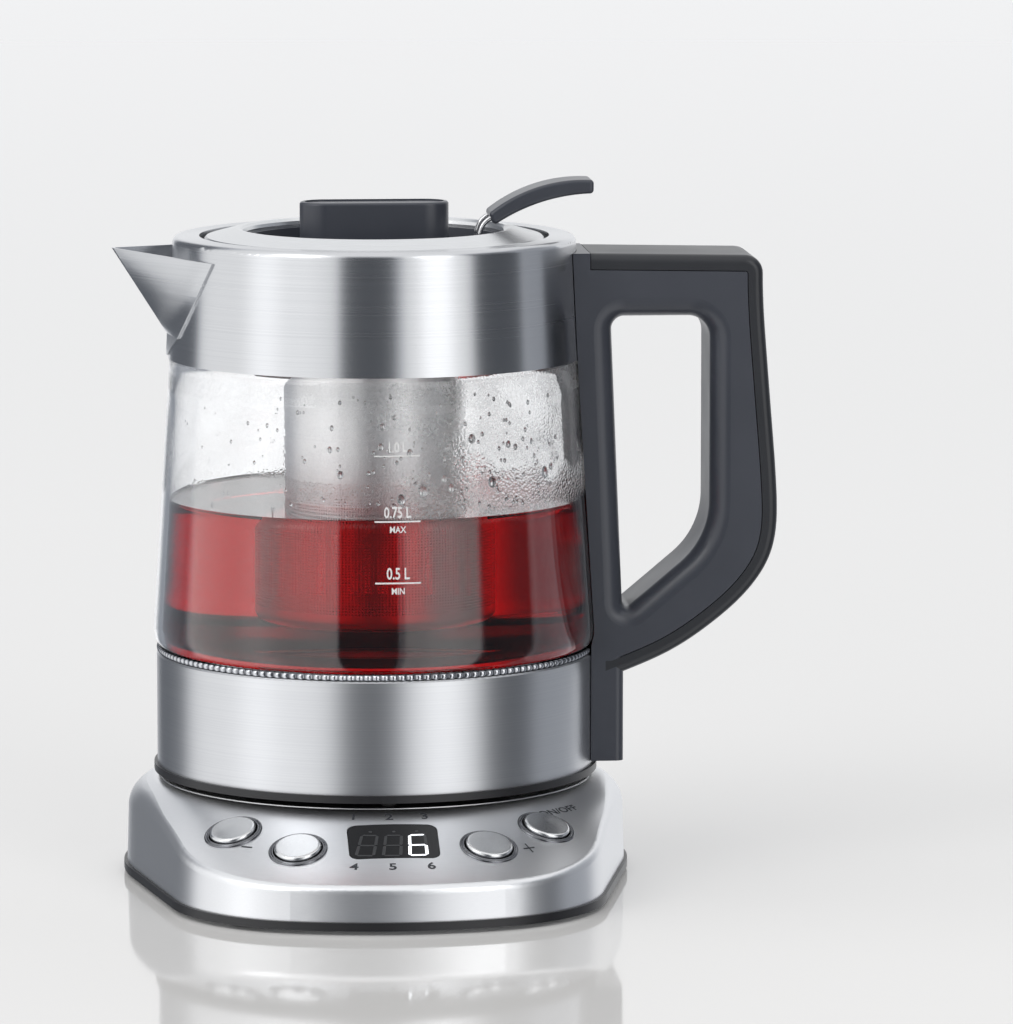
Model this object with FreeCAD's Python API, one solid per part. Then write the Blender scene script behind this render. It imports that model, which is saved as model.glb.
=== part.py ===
import FreeCAD, Part
import math
import os
from FreeCAD import Vector

# An automatic tea maker: a glass kettle with a lift-out strainer, seated on a steel control base.
# Everything is laid out in millimetres round the kettle's own axis, with the table at z = 0, the control
# panel towards -Y, the handle towards +X and the spout towards -X. The last section moves the whole model
# so that the origin is the centre of its footprint.

# Base, outside
base_back_r = 77.5
panel_reach = 31.0
base_front_r = base_back_r + panel_reach
base_corner_r = 48.0
base_flank_angle = 12.0
base_draft = 0.9
tray_bottom_z = 1.3
skin_bottom_z = 3.8
top_plate_z = 30.6
panel_slope_angle = 21.9
shoulder_r = 9.0
shoulder_margin = 1.5
top_plate_r = base_back_r - shoulder_r - shoulder_margin
front_edge_r = 3.0
plateau_foot_r = 43.3
plateau_top_r = 36.0
plateau_height = 3.2
skin_wall = 0.8
frame_wall = 1.8
layer_gap = 0.1
crease_width = 0.5
crease_depth = 0.35
rim_proud = 1.0

# Base, inside
tray_lip_height = 3.2
tray_lip_wall = 1.5
foot_r = 6.0
foot_height = 2.0
foot_back = (40.0, 54.0)
foot_front = (42.0, -76.0)
screw_back = (54.0, 33.0)
screw_front = (55.0, -38.0)
screw_r = 1.5
screw_head_r = 2.9
screw_head_height = 1.8
screw_length = 13.0
boss_r = 4.5
board_wall = 1.6
mains_board_size = (62.0, 30.0)
mains_board_y = 50.0
mains_board_z = 8.0
relay_size = (19.0, 15.0, 12.0)
gland_r = 6.0
gland_bore_r = 3.5
gland_z = 12.0
gland_length = 9.0
gland_collar_r = 7.5
gland_collar_wall = 2.5

# Connector on the base
bezel_ring_r = 27.8
bezel_ring_bore_r = 22.3
bezel_ring_height = 1.2
washer_r = 22.0
washer_bore_r = 19.2
washer_wall = 0.6
connector_skirt_r = 18.8
connector_skirt_z = 34.5
connector_neck_r = 14.7
connector_neck_z = 39.5
connector_disc_z = 45.0
connector_top_z = 48.1
connector_recess_r = 13.8
connector_recess_depth = 3.0
ring_contact_radii = (5.5, 10.5)
ring_contact_wall = 0.6
centre_pin_r = 1.6
clip_wire_r = 0.6
contact_gap = 0.3

# Buttons and display, in the panel's own frame
button_r = 7.1
button_proud = 1.6
button_travel = 1.0
button_edge_r = 0.9
button_gap = 0.3
button_bezel_r = 8.95
button_bezel_proud = 0.5
button_outer_place = (base_front_r - 25.6, 34.8)
button_inner_place = (base_front_r - 19.2, 18.7)
switch_side = 6.0
switch_height = 3.5
plunger_r = 1.75
switch_board_size = (16.0, 12.0)
window_size = (27.0, 18.7)
window_corner_r = 3.0
window_place_r = base_front_r - 24.5
window_wall = 2.0
module_size = (23.0, 14.0, 4.5)

# Kettle, heights above the lower edge of its black rim
kettle_seat_z = 32.4
kettle_rim_r = 68.9
kettle_rim_height = 2.3
kettle_foot_height = 1.5
kettle_foot_r = 2.2
kettle_foot_place_r = 63.5
cover_wall = 2.2
recess_r = 44.5
recess_height = 3.4
band_r = 67.9
band_top = 37.0
band_wall = 1.0
seal_height = 2.2
seal_r = 68.0
floor_height = 29.5
floor_wall = 1.2
glass_heel_r = 67.3
glass_belly_r = 68.8
glass_belly_height = 45.0
glass_top_r = 63.45
glass_wall = 2.5
glass_neck_wall = 2.0
glass_top_height = 136.0
collar_low_r = 63.8
collar_low_height = 128.4
collar_top_r = 62.2
collar_height = 166.0
collar_wall = 1.0
collar_shoulder_r = 2.0
glass_neck_r = collar_top_r - 0.8
collar_mouth_r = 54.0
collar_ledge_r = 50.5
collar_ledge_height = 160.2
seal_gap = 0.1
socket_r = 23.0
socket_bore_r = 19.2
socket_ceiling = 17.5
socket_top = 21.0
running_gap = 0.3
element_place_r = 42.0
element_r = 3.6
element_gap_angle = 50.0
sensor_r = 3.0
sensor_place = (0.0, 30.0)

# Spout
spout_tip_x = 81.1
spout_tip_height = 162.8
spout_root_height = 160.4
spout_keel_low = 136.0
spout_bottom = 129.6
spout_half_angle = 35.0
spout_low_angle = 3.0
spout_sheet = 0.7
spout_wall = 0.9
spout_keel_r = 2.5
filter_wall = 0.5
filter_hole_r = 0.9
filter_hole_pitch = 3.0

# Handle
handle_width = 35.0
handle_root_x = 50.0
handle_top_left = 161.4
handle_top_right = 160.2
handle_stub_top = 161.2
handle_corner_x = 119.0
seam_corner_r = 0.9
handle_belly_x = 123.6
handle_belly_height = 87.0
cover_band = 4.8
cover_start_x = 65.6
cover_nose_x = 70.3
seam_gap = 0.25
spine_bottom = 3.3
spine_edge_r = 2.5
spine_low_x = 76.0
spine_high_x = 72.2
handle_gap_top = 141.4
handle_gap_right_x = 103.0
handle_gap_bottom = 49.4
gap_slant_angle = 40.0
grip_round_r = 6.0
cover_round_r = 2.6
body_gap = 0.15
handle_screw_r = 2.0
handle_screw_head_r = 3.6
handle_screw_length = 8.0
upper_screw_height = 150.0
lower_screw_height = 18.0

# Lid
lid_ring_r = 52.4
lid_ring_edge = 165.8
lid_ring_inner_r = 42.0
lid_ring_top = 168.3
lid_opening_r = 40.3
lid_wall = 1.0
lid_flange_wall = 2.0
liner_r = 38.0
liner_bottom = 148.0
liner_ledge_r = 35.0
liner_ledge = 158.7
liner_wall = 1.8
seal_proud_r = 50.2
scoop_r = 12.0
scoop_depth = 1.4

# Strainer
strainer_r = 28.0
strainer_bottom = 46.6
strainer_neck = 140.0
strainer_neck_r = 30.5
strainer_flange_r = 37.6
strainer_wall = 0.6
strainer_flange_wall = 1.0
wire_r = 0.75
wire_spacing = 11.0
wire_x = 32.2
wire_straight = 5.8
wire_bend_r = 6.0
wire_lean = 61.0
wire_reach = 4.5
grip_width = 16.0
grip_top_points = ((35.0, 172.9), (50.2, 181.0), (67.4, 183.0))
grip_low_points = ((36.4, 169.0), (51.2, 176.2), (67.4, 178.8))
grip_edge_r = 1.2

# Strainer cap and its knob
cap_r = 36.6
cap_wall = 2.0
cap_notch_x = 29.0
cap_notch_width = 18.0
cap_spigot_r = 29.5
knob_length = 46.0
knob_width = 16.0
knob_top = 176.4
knob_edge_r = 0.9
knob_dish = 0.5
knob_dish_margin = 1.5

panel_slope = math.radians(panel_slope_angle)
top_skirt_r = base_front_r + 12.0
nodes = {}


def polygon(points):
    return Part.Wire(Part.makePolygon([Vector(*p) for p in points] + [Vector(*points[0])]).Edges)


def turned(profile):
    """A solid of revolution from (radius, height) corners."""
    face = Part.Face(polygon([(r, 0, z) for r, z in profile]))
    return face.revolve(Vector(0, 0, 0), Vector(0, 0, 1), 360)


def tube(outer_r, inner_r, low, high):
    body = Part.makeCylinder(outer_r, high - low, Vector(0, 0, low))
    if inner_r <= 0:
        return body
    return body.cut(Part.makeCylinder(inner_r, high - low + 2, Vector(0, 0, low - 1)))


def block(x0, x1, y0, y1, z0, z1):
    return Part.makeBox(x1 - x0, y1 - y0, z1 - z0, Vector(x0, y0, z0))


def rod(radius, start, end):
    direction = Vector(*end) - Vector(*start)
    return Part.makeCylinder(radius, direction.Length, Vector(*start), direction)


def moved(shape, x=0.0, y=0.0, z=0.0):
    copy = shape.copy()
    copy.translate(Vector(x, y, z))
    return copy


def turned_about_z(shape, angle):
    copy = shape.copy()
    copy.rotate(Vector(0, 0, 0), Vector(0, 0, 1), angle)
    return copy


def raised(shape):
    """Lifts a kettle piece, drawn from its rim's lower edge, to its seat on the base."""
    return moved(shape, z=kettle_seat_z)


def arc_edge(start, middle, end):
    return Part.Arc(Vector(*start), Vector(*middle), Vector(*end)).toShape()


def line_edge(start, end):
    return Part.LineSegment(Vector(*start), Vector(*end)).toShape()


def joined(shapes):
    whole = shapes[0]
    for piece in shapes[1:]:
        whole = whole.fuse(piece)
    return whole.removeSplitter()


# Base outline: a back arc, two straight flanks tangent to it, round front corners and a front arc
def base_outline(grow, z):
    back = base_back_r + grow
    front = base_front_r + grow
    corner = base_corner_r + grow
    flank = math.radians(base_flank_angle)
    normal = (math.cos(flank), -math.sin(flank))
    along = (-math.sin(flank), -math.cos(flank))
    run = math.sqrt((base_front_r - base_corner_r) ** 2 - (base_back_r - base_corner_r) ** 2)
    reach = base_back_r - base_corner_r
    centre = (reach * normal[0] + run * along[0], reach * normal[1] + run * along[1])
    back_end = (back * normal[0], back * normal[1])
    back_mid = (back * math.cos(math.pi / 5), back * math.sin(math.pi / 5))
    flank_end = (centre[0] + corner * normal[0], centre[1] + corner * normal[1])
    spread = math.atan2(centre[1], centre[0])
    front_end = (front * math.cos(spread), front * math.sin(spread))
    flank_way = math.atan2(normal[1], normal[0])
    middle_way = 0.5 * (flank_way + spread)
    corner_mid = (centre[0] + corner * math.cos(middle_way), centre[1] + corner * math.sin(middle_way))
    right = [
        arc_edge((0, back, z), (*back_mid, z), (*back_end, z)),
        line_edge((*back_end, z), (*flank_end, z)),
        arc_edge((*flank_end, z), (*corner_mid, z), (*front_end, z)),
    ]
    left = [
        arc_edge(
            (-front_end[0], front_end[1], z), (-corner_mid[0], corner_mid[1], z),
            (-flank_end[0], flank_end[1], z)),
        line_edge((-flank_end[0], flank_end[1], z), (-back_end[0], back_end[1], z)),
        arc_edge(
            (-back_end[0], back_end[1], z),
            (-back_mid[0], back_mid[1], z),
            (0, back, z),
        ),
    ]
    front_edge = arc_edge((*front_end, z), (0, -front, z), (-front_end[0], front_end[1], z))
    return Part.Wire(right + [front_edge] + left)


def panel_height(r):
    return top_plate_z - math.tan(panel_slope) * (r - top_plate_r)


def base_block(inset):
    """The base's outer form, or the same form one wall further in."""
    walls = Part.makeLoft(
        [base_outline(-inset, skin_bottom_z), base_outline(-inset - base_draft, top_plate_z + 4)], True, True
    )
    top = [
        (0, 0),
        (top_skirt_r, 0),
        (top_skirt_r, panel_height(top_skirt_r) - inset / math.cos(panel_slope)),
        (top_plate_r, top_plate_z - inset),
        (0, top_plate_z - inset),
    ]
    seam_at_back = turned_about_z(turned(top), 90)
    return round_top_edge(walls.common(seam_at_back).Solids[0], inset)


def round_top_edge(body, inset):
    """A wide shoulder round the back that narrows along the flanks to a small radius in front."""
    wide = shoulder_r - inset
    narrow = max(front_edge_r - inset, 0.4)
    radii = []
    for number, edge in enumerate(body.Edges, 1):
        start = edge.valueAt(edge.FirstParameter)
        middle = edge.valueAt(0.5 * (edge.FirstParameter + edge.LastParameter))
        outside = math.hypot(middle.x, middle.y) > 0.5 * (top_plate_r + base_back_r) - inset
        if edge.BoundBox.ZMin < skin_bottom_z + 1 or not outside:
            continue
        if middle.y > 0:
            radii.append((number, wide, wide))
        elif edge.BoundBox.YLength > 2 * edge.BoundBox.XLength:
            first = wide if start.y > middle.y else narrow
            radii.append((number, first, wide + narrow - first))
        else:
            radii.append((number, narrow, narrow))
    doc = FreeCAD.newDocument("shoulder")
    base = doc.addObject("Part::Feature", "base")
    base.Shape = body
    fillet = doc.addObject("Part::Fillet", "fillet")
    fillet.Base = base
    fillet.Edges = radii
    doc.recompute()
    shape = fillet.Shape.copy()
    FreeCAD.closeDocument(doc.Name)
    return shape


def plateau(inset):
    return turned([
        (0, top_plate_z - 8),
        (plateau_foot_r - inset, top_plate_z - 8),
        (plateau_foot_r - inset, top_plate_z - inset),
        (plateau_top_r - inset, top_plate_z + plateau_height - inset),
        (0, top_plate_z + plateau_height - inset),
    ])


def on_panel(shape, place_r, angle):
    """Sets a piece drawn with z out of the panel at a radius and an angle from the front centre line."""
    copy = shape.copy()
    copy.rotate(Vector(0, 0, 0), Vector(1, 0, 0), panel_slope_angle)
    copy.translate(Vector(0, -place_r, panel_height(place_r)))
    copy.rotate(Vector(0, 0, 0), Vector(0, 0, 1), angle)
    return copy


def rounded_plate(width, depth, corner, z0, z1):
    plate = block(-width / 2, width / 2, -depth / 2, depth / 2, z0, z1)
    uprights = [e for e in plate.Edges if abs(e.BoundBox.ZLength - (z1 - z0)) < 1e-6]
    return plate.makeFillet(corner, uprights)


button_places = {
    "button_programme": (button_outer_place[0], -button_outer_place[1]),
    "button_minus": (button_inner_place[0], -button_inner_place[1]),
    "button_plus": (button_inner_place[0], button_inner_place[1]),
    "button_start": (button_outer_place[0], button_outer_place[1]),
}
through = 2 * (skin_wall + frame_wall) + 3
bezel_tube_r = button_bezel_r - 0.75
bezel_bore_r = button_r + button_gap
bezel_hole = Part.makeCylinder(bezel_tube_r + 0.05, 2 * through, Vector(0, 0, -through))
window_hole = rounded_plate(window_size[0] + 0.3, window_size[1] + 0.3, window_corner_r, -through, through)

outer_form = base_block(0).fuse(plateau(0)).removeSplitter()
skin_inner = base_block(skin_wall).fuse(plateau(skin_wall))
frame_outer = base_block(skin_wall + layer_gap).fuse(plateau(skin_wall + layer_gap))
frame_inner = base_block(skin_wall + layer_gap + frame_wall)
frame_inner = frame_inner.fuse(plateau(skin_wall + layer_gap + frame_wall))
connector_hole = Part.makeCylinder(washer_r + 0.2, 60)
gland_hole = Part.makeCylinder(gland_r + 0.1, 40, Vector(0, base_back_r - 20, gland_z), Vector(0, 1, 0))
panel_holes = [on_panel(window_hole, window_place_r, 0)]
panel_holes += [on_panel(bezel_hole, *place) for place in button_places.values()]
crease = tube(top_plate_r + crease_width, top_plate_r, top_plate_z - crease_depth, top_plate_z + 1)

skin = outer_form.cut(skin_inner).cut(crease)
inner_frame = frame_outer.cut(frame_inner)
for hole in panel_holes + [connector_hole, gland_hole]:
    skin = skin.cut(hole)
    inner_frame = inner_frame.cut(hole)
nodes["base_skin"] = skin

# Frame bosses that take the tray screws
screw_places = [(sx * p[0], p[1]) for p in (screw_back, screw_front) for sx in (-1, 1)]
foot_places = [(sx * p[0], p[1]) for p in (foot_back, foot_front) for sx in (-1, 1)]
tray_boss_top = skin_bottom_z + 5.0
screw_tip_z = tray_boss_top - 3.0 + screw_length
for x, y in screw_places:
    boss = Part.makeCylinder(boss_r, top_plate_z, Vector(x, y, tray_boss_top))
    inner_frame = inner_frame.fuse(boss.common(frame_outer))
for x, y in screw_places:
    bore = rod(screw_r + 0.05, (x, y, tray_boss_top - 1), (x, y, screw_tip_z + 1))
    inner_frame = inner_frame.cut(bore)
nodes["base_inner_frame"] = inner_frame.removeSplitter()

# Tray: a plate with a proud rim, a lip inside the skin, screw bosses, board posts and foot pockets
tray = Part.makeLoft(
    [base_outline(rim_proud, tray_bottom_z), base_outline(rim_proud, skin_bottom_z)], True, True
)
lip_inset = skin_wall + layer_gap + frame_wall + 0.2
lip_top = skin_bottom_z + tray_lip_height
lip = Part.makeLoft(
    [base_outline(-lip_inset, skin_bottom_z), base_outline(-lip_inset - 0.2, lip_top)], True, True
).cut(Part.makeLoft(
    [base_outline(-lip_inset - tray_lip_wall, skin_bottom_z - 1),
     base_outline(-lip_inset - tray_lip_wall, lip_top + 1)], True, True
))
tray = tray.fuse(lip)
for x, y in screw_places:
    tray = tray.fuse(Part.makeCylinder(boss_r, tray_boss_top - skin_bottom_z, Vector(x, y, skin_bottom_z)))
post_places = [(sx * (mains_board_size[0] / 2 - 5), mains_board_y + sy * (mains_board_size[1] / 2 - 5))
               for sx in (-1, 1) for sy in (-1, 1)]
for x, y in post_places:
    tray = tray.fuse(Part.makeCylinder(2.5, mains_board_z - skin_bottom_z, Vector(x, y, skin_bottom_z)))

# Switch stack heights below the panel's surface, along the button's axis
cap_rim_top = -(skin_wall + layer_gap + frame_wall + 0.7)
cap_rim_low = cap_rim_top - 0.8
stem_low = cap_rim_low - 0.6
plunger_top = stem_low - button_travel - button_gap
switch_top = plunger_top - 0.8
switch_low = switch_top - switch_height
switch_board_low = switch_low - board_wall
module_top = -window_wall - 0.4
display_board_top = module_top - module_size[2]
display_board_low = display_board_top - board_wall

board_solids = []
switch_solids = []
bezel_solids = []
for name, place in button_places.items():
    cap = Part.makeCylinder(button_r, button_proud - cap_rim_low, Vector(0, 0, cap_rim_low))
    top_edges = [
        e for e in cap.Edges
        if abs(e.BoundBox.ZMin - button_proud) < 1e-6 and e.BoundBox.XLength > 1]
    cap = cap.makeFillet(button_edge_r, top_edges)
    cap_rim = Part.makeCylinder(bezel_tube_r + 0.4, cap_rim_top - cap_rim_low, Vector(0, 0, cap_rim_low))
    cap = cap.fuse(cap_rim)
    cap = cap.fuse(Part.makeCylinder(2.4, cap_rim_low - stem_low, Vector(0, 0, stem_low)))
    nodes[name] = on_panel(cap.removeSplitter(), *place)
    flange = tube(button_bezel_r, bezel_bore_r, -1.2, button_bezel_proud)
    flange = on_panel(flange, *place).cut(outer_form)
    sleeve = on_panel(tube(bezel_tube_r, bezel_bore_r, cap_rim_top + 0.3, button_bezel_proud - 0.1), *place)
    bezel_solids.append(flange.fuse(sleeve).removeSplitter())
    plunger = Part.makeCylinder(plunger_r, plunger_top - switch_top, Vector(0, 0, switch_top))
    body = block(-switch_side / 2, switch_side / 2, -switch_side / 2, switch_side / 2, switch_low, switch_top)
    switch_solids.append(on_panel(body.fuse(plunger), *place))
    board = block(-switch_board_size[0] / 2, switch_board_size[0] / 2, -switch_board_size[1] / 2,
                  switch_board_size[1] / 2, switch_board_low, switch_low)
    board_solids.append(on_panel(board, *place))
    post_x = place[0] * math.sin(math.radians(place[1]))
    post_y = -place[0] * math.cos(math.radians(place[1]))
    post = Part.makeCylinder(2.5, top_plate_z, Vector(post_x * 0.97, post_y * 0.97, skin_bottom_z))
    reach = switch_board_size[0]
    above = on_panel(block(-reach, reach, -reach, reach, switch_board_low, top_plate_z), *place)
    tray = tray.fuse(post.cut(above))
nodes["button_bezels"] = Part.makeCompound(bezel_solids)
nodes["button_switches"] = Part.makeCompound(switch_solids)
nodes["switch_boards"] = Part.makeCompound(board_solids)

window = rounded_plate(window_size[0], window_size[1], window_corner_r, -window_wall, 3)
window = on_panel(window, window_place_r, 0)
nodes["display_window"] = window.common(outer_form)
module = block(-module_size[0] / 2, module_size[0] / 2, -module_size[1] / 2, module_size[1] / 2,
               display_board_top, module_top)
nodes["display_module"] = on_panel(module, window_place_r, 0)
display_board = block(-15, 15, -10, 10, display_board_low, display_board_top)
nodes["display_board"] = on_panel(display_board, window_place_r, 0)
for sx in (-1, 1):
    post = Part.makeCylinder(2.5, top_plate_z, Vector(sx * 11, -window_place_r + 2, skin_bottom_z))
    above = on_panel(block(-window_size[0], window_size[0], -window_size[0], window_size[0],
                           display_board_low, top_plate_z), window_place_r, 0)
    tray = tray.fuse(post.cut(above))

for x, y in foot_places:
    tray = tray.cut(Part.makeCylinder(foot_r + 0.1, foot_height, Vector(x, y, 0)))
for x, y in screw_places:
    tray = tray.cut(Part.makeCylinder(screw_r + 0.2, 40, Vector(x, y, 0)))
    tray = tray.cut(Part.makeCylinder(screw_head_r + 0.2, tray_boss_top - 3.0, Vector(x, y, 0)))
gland_front = base_back_r - gland_length
gland_back = base_back_r + rim_proud - 0.2
tray = tray.cut(rod(gland_r + layer_gap, (0, gland_front, gland_z), (0, gland_back + 1, gland_z)))
tray = tray.cut(rod(gland_collar_r + layer_gap, (0, gland_front - layer_gap, gland_z),
                    (0, gland_front + gland_collar_wall + layer_gap, gland_z)))
nodes["base_tray"] = tray.removeSplitter()

nodes["base_feet"] = Part.makeCompound([
    Part.makeCylinder(foot_r, foot_height, Vector(x, y, 0)) for x, y in foot_places
])


def tray_screw(x, y):
    head_top = tray_boss_top - 3.0
    head = Part.makeCylinder(screw_head_r, screw_head_height, Vector(x, y, head_top - screw_head_height))
    shank = Part.makeCylinder(screw_r, screw_length, Vector(x, y, head_top))
    return head.fuse(shank).removeSplitter()


nodes["base_screws"] = Part.makeCompound([tray_screw(x, y) for x, y in screw_places])

mains_board = block(-mains_board_size[0] / 2, mains_board_size[0] / 2,
                    mains_board_y - mains_board_size[1] / 2,
                    mains_board_y + mains_board_size[1] / 2, mains_board_z, mains_board_z + board_wall)
nodes["mains_board"] = mains_board
relay = block(-relay_size[0] / 2, relay_size[0] / 2, 0, relay_size[1], 0, relay_size[2])
nodes["power_relay"] = moved(relay, -14, mains_board_y - 11, mains_board_z + board_wall)
gland = rod(gland_r, (0, gland_front, gland_z), (0, gland_back, gland_z))
gland_collar = rod(gland_collar_r, (0, gland_front, gland_z), (0, gland_front + gland_collar_wall, gland_z))
gland_bore = rod(gland_bore_r, (0, gland_front - 1, gland_z), (0, gland_back + 1, gland_z))
nodes["cord_gland"] = gland.fuse(gland_collar).cut(gland_bore).removeSplitter()

# Connector: a stepped post with a contact recess, standing in a bezel ring on the plateau
plateau_z = top_plate_z + plateau_height
frame_ceiling = plateau_z - skin_wall - layer_gap - frame_wall
contact_foot_z = connector_top_z - connector_recess_depth - 3.0
ring_contacts = [
    tube(r + ring_contact_wall, r, contact_foot_z, connector_top_z - 0.7) for r in ring_contact_radii]
centre_pin = rod(centre_pin_r, (0, 0, contact_foot_z), (0, 0, connector_top_z - 0.4))
connector = turned([
    (0, frame_ceiling - 3.5), (bezel_ring_r + 2, frame_ceiling - 3.5), (bezel_ring_r + 2, frame_ceiling),
    (washer_r, frame_ceiling), (washer_r, plateau_z + 0.2), (connector_skirt_r, plateau_z + 0.2),
    (connector_skirt_r, connector_neck_z), (connector_neck_r, connector_neck_z),
    (connector_neck_r, connector_disc_z), (connector_skirt_r - 0.6, connector_disc_z),
    (connector_skirt_r, connector_disc_z + 0.6), (connector_skirt_r, connector_top_z - 1.4),
    (connector_skirt_r - 1.2, connector_top_z), (connector_recess_r, connector_top_z),
    (connector_recess_r, connector_top_z - connector_recess_depth),
    (0, connector_top_z - connector_recess_depth),
])
skirt_notch = block(-3, 3, -connector_skirt_r - 1, -connector_skirt_r + 2.4,
                    connector_skirt_z, connector_neck_z + 1)
connector = connector.cut(skirt_notch)
for piece in ring_contacts + [centre_pin]:
    connector = connector.cut(piece)
nodes["connector_body"] = connector
nodes["connector_contacts"] = Part.makeCompound(ring_contacts)
nodes["connector_centre_pin"] = centre_pin
nodes["connector_bezel"] = turned([
    (bezel_ring_bore_r, plateau_z), (bezel_ring_r, plateau_z),
    (bezel_ring_r - 0.8, plateau_z + bezel_ring_height),
    (bezel_ring_bore_r, plateau_z + bezel_ring_height),
])
nodes["connector_washer"] = tube(washer_r, washer_bore_r, plateau_z + 0.2, plateau_z + 0.2 + washer_wall)
clip_z = 0.5 * (connector_neck_z + connector_disc_z)
clip_out = connector_skirt_r - 0.6
clip_root = math.sqrt(connector_neck_r ** 2 - 9.0)
clip_arms = [rod(clip_wire_r, (-clip_root - 0.05, y, clip_z), (-clip_out, y, clip_z)) for y in (-3, 3)]
clip_bow_x = -clip_out + clip_wire_r
clip_bow = rod(clip_wire_r, (clip_bow_x, -3 - clip_wire_r, clip_z), (clip_bow_x, 3 + clip_wire_r, clip_z))
nodes["connector_spring_clip"] = joined(clip_arms + [clip_bow]).cut(Part.makeCylinder(connector_neck_r, 60))

# Kettle underside: a rimmed cover with a recess that clears the plateau and a sleeve round the socket
sleeve_bore_r = socket_r + running_gap
cover = turned([
    (sleeve_bore_r, recess_height), (recess_r, recess_height), (recess_r, 0), (kettle_rim_r, 0),
    (kettle_rim_r, kettle_rim_height), (band_r - band_wall - 0.1, kettle_rim_height),
    (band_r - band_wall - 0.1, kettle_rim_height + 6), (band_r - band_wall - 1.8, kettle_rim_height + 6),
    (band_r - band_wall - 1.8, cover_wall), (recess_r + 2, cover_wall),
    (recess_r + 2, recess_height + cover_wall), (sleeve_bore_r + 2, recess_height + cover_wall),
    (sleeve_bore_r + 2, socket_top - 1), (sleeve_bore_r, socket_top - 1),
])
nodes["kettle_bottom_cover"] = raised(cover)
kettle_feet = []
for number in range(6):
    foot = rod(kettle_foot_r, (kettle_foot_place_r, 0, -kettle_foot_height), (kettle_foot_place_r, 0, 0))
    low_edges = [e for e in foot.Edges if abs(e.BoundBox.ZMax + kettle_foot_height) < 1e-6]
    kettle_feet.append(raised(turned_about_z(foot.makeFillet(0.5, low_edges), 30 + 60 * number)))
nodes["kettle_feet"] = Part.makeCompound(kettle_feet)
nodes["lower_band"] = raised(turned([
    (band_r - band_wall, kettle_rim_height), (band_r, kettle_rim_height), (band_r, band_top - 0.5),
    (band_r - 0.5, band_top), (band_r - band_wall, band_top),
]))
seal_top = band_top + seal_height
plate_r = band_r - band_wall - 0.1
nodes["heater_plate"] = raised(turned([
    (0, floor_height - floor_wall), (plate_r - 3, floor_height - floor_wall),
    (plate_r - 3, band_top - floor_wall), (plate_r, band_top - floor_wall), (plate_r, band_top),
    (plate_r - 4.2, band_top), (plate_r - 4.2, floor_height), (0, floor_height),
]))
nodes["lower_seal_ring"] = raised(turned([
    (glass_heel_r - 5, band_top), (seal_r, band_top), (seal_r, seal_top), (glass_heel_r - 5, seal_top),
]))
element_z = floor_height - floor_wall - element_r
element_arc = Part.makeTorus(element_place_r, element_r, Vector(0, 0, element_z), Vector(0, 0, 1), 0, 360,
                             360 - 2 * element_gap_angle)
element = turned_about_z(element_arc, element_gap_angle - 90)
element_ends = []
for side in (-1, 1):
    angle = math.radians(-90 + side * element_gap_angle)
    x, y = element_place_r * math.cos(angle), element_place_r * math.sin(angle)
    element_ends.append(Part.makeCylinder(element_r, 10, Vector(x, y, element_z - 10)))
nodes["heating_element"] = raised(joined([element] + element_ends).common(
    tube(plate_r, 0, 0, floor_height - floor_wall)))
sensor = Part.makeCylinder(sensor_r, 14, Vector(*sensor_place, floor_height - floor_wall - 14))
nodes["temperature_sensor"] = raised(sensor)
socket = turned([
    (0, socket_ceiling), (socket_bore_r, socket_ceiling), (socket_bore_r, recess_height),
    (socket_r, recess_height), (socket_r, socket_top), (0, socket_top),
])
nodes["coupling_socket"] = raised(socket)
socket_contact_low = connector_top_z - connector_recess_depth + 0.4 - kettle_seat_z
socket_rings = [tube(r + 2 * ring_contact_wall + contact_gap, r + ring_contact_wall + contact_gap,
                     socket_contact_low, socket_ceiling) for r in ring_contact_radii]
socket_rings.append(tube(centre_pin_r + contact_gap + ring_contact_wall, centre_pin_r + contact_gap,
                         socket_contact_low, socket_ceiling))
nodes["socket_contacts"] = raised(Part.makeCompound(socket_rings))


def glass_outer_r(height):
    share = (height - glass_belly_height) / (collar_low_height - glass_belly_height)
    return glass_belly_r + share * (glass_top_r - glass_belly_r)


def side_line(start, end):
    """A line between two (radius, height) points of a section."""
    return line_edge((start[0], 0, start[1]), (end[0], 0, end[1]))


def side_arc(start, middle, end):
    return arc_edge((start[0], 0, start[1]), (middle[0], 0, middle[1]), (end[0], 0, end[1]))


# Glass: an arc for the rounded heel, a long taper and a neck that the collar hides
neck_low = collar_low_height + 0.3
taper_end = collar_low_height - 0.3
neck_start = neck_low - 6
outer_foot = (glass_heel_r - 0.8, seal_top)
inner_foot = (glass_heel_r - 3.5, seal_top)
outer_belly = (glass_belly_r, glass_belly_height)
inner_belly = (glass_belly_r - glass_wall, glass_belly_height)
outer_taper = (glass_outer_r(taper_end), taper_end)
inner_taper = (glass_outer_r(neck_start) - glass_wall, neck_start)
neck_bore_r = glass_neck_r - glass_neck_wall
glass_edges = [
    side_line(inner_foot, outer_foot),
    side_arc(outer_foot, (glass_heel_r + 0.85, seal_top + 2.0), outer_belly),
    side_line(outer_belly, outer_taper),
    side_line(outer_taper, (glass_neck_r, neck_low)),
    side_line((glass_neck_r, neck_low), (glass_neck_r, glass_top_height)),
    side_line((glass_neck_r, glass_top_height), (neck_bore_r, glass_top_height)),
    side_line((neck_bore_r, glass_top_height), (neck_bore_r, neck_low - 3)),
    side_line((neck_bore_r, neck_low - 3), inner_taper),
    side_line(inner_taper, inner_belly),
    side_arc(inner_belly, (glass_heel_r - 1.9, seal_top + 2.4), inner_foot),
]
glass_face = Part.Face(Part.Wire(glass_edges))
nodes["glass_body"] = raised(glass_face.revolve(Vector(0, 0, 0), Vector(0, 0, 1), 360))


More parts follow.
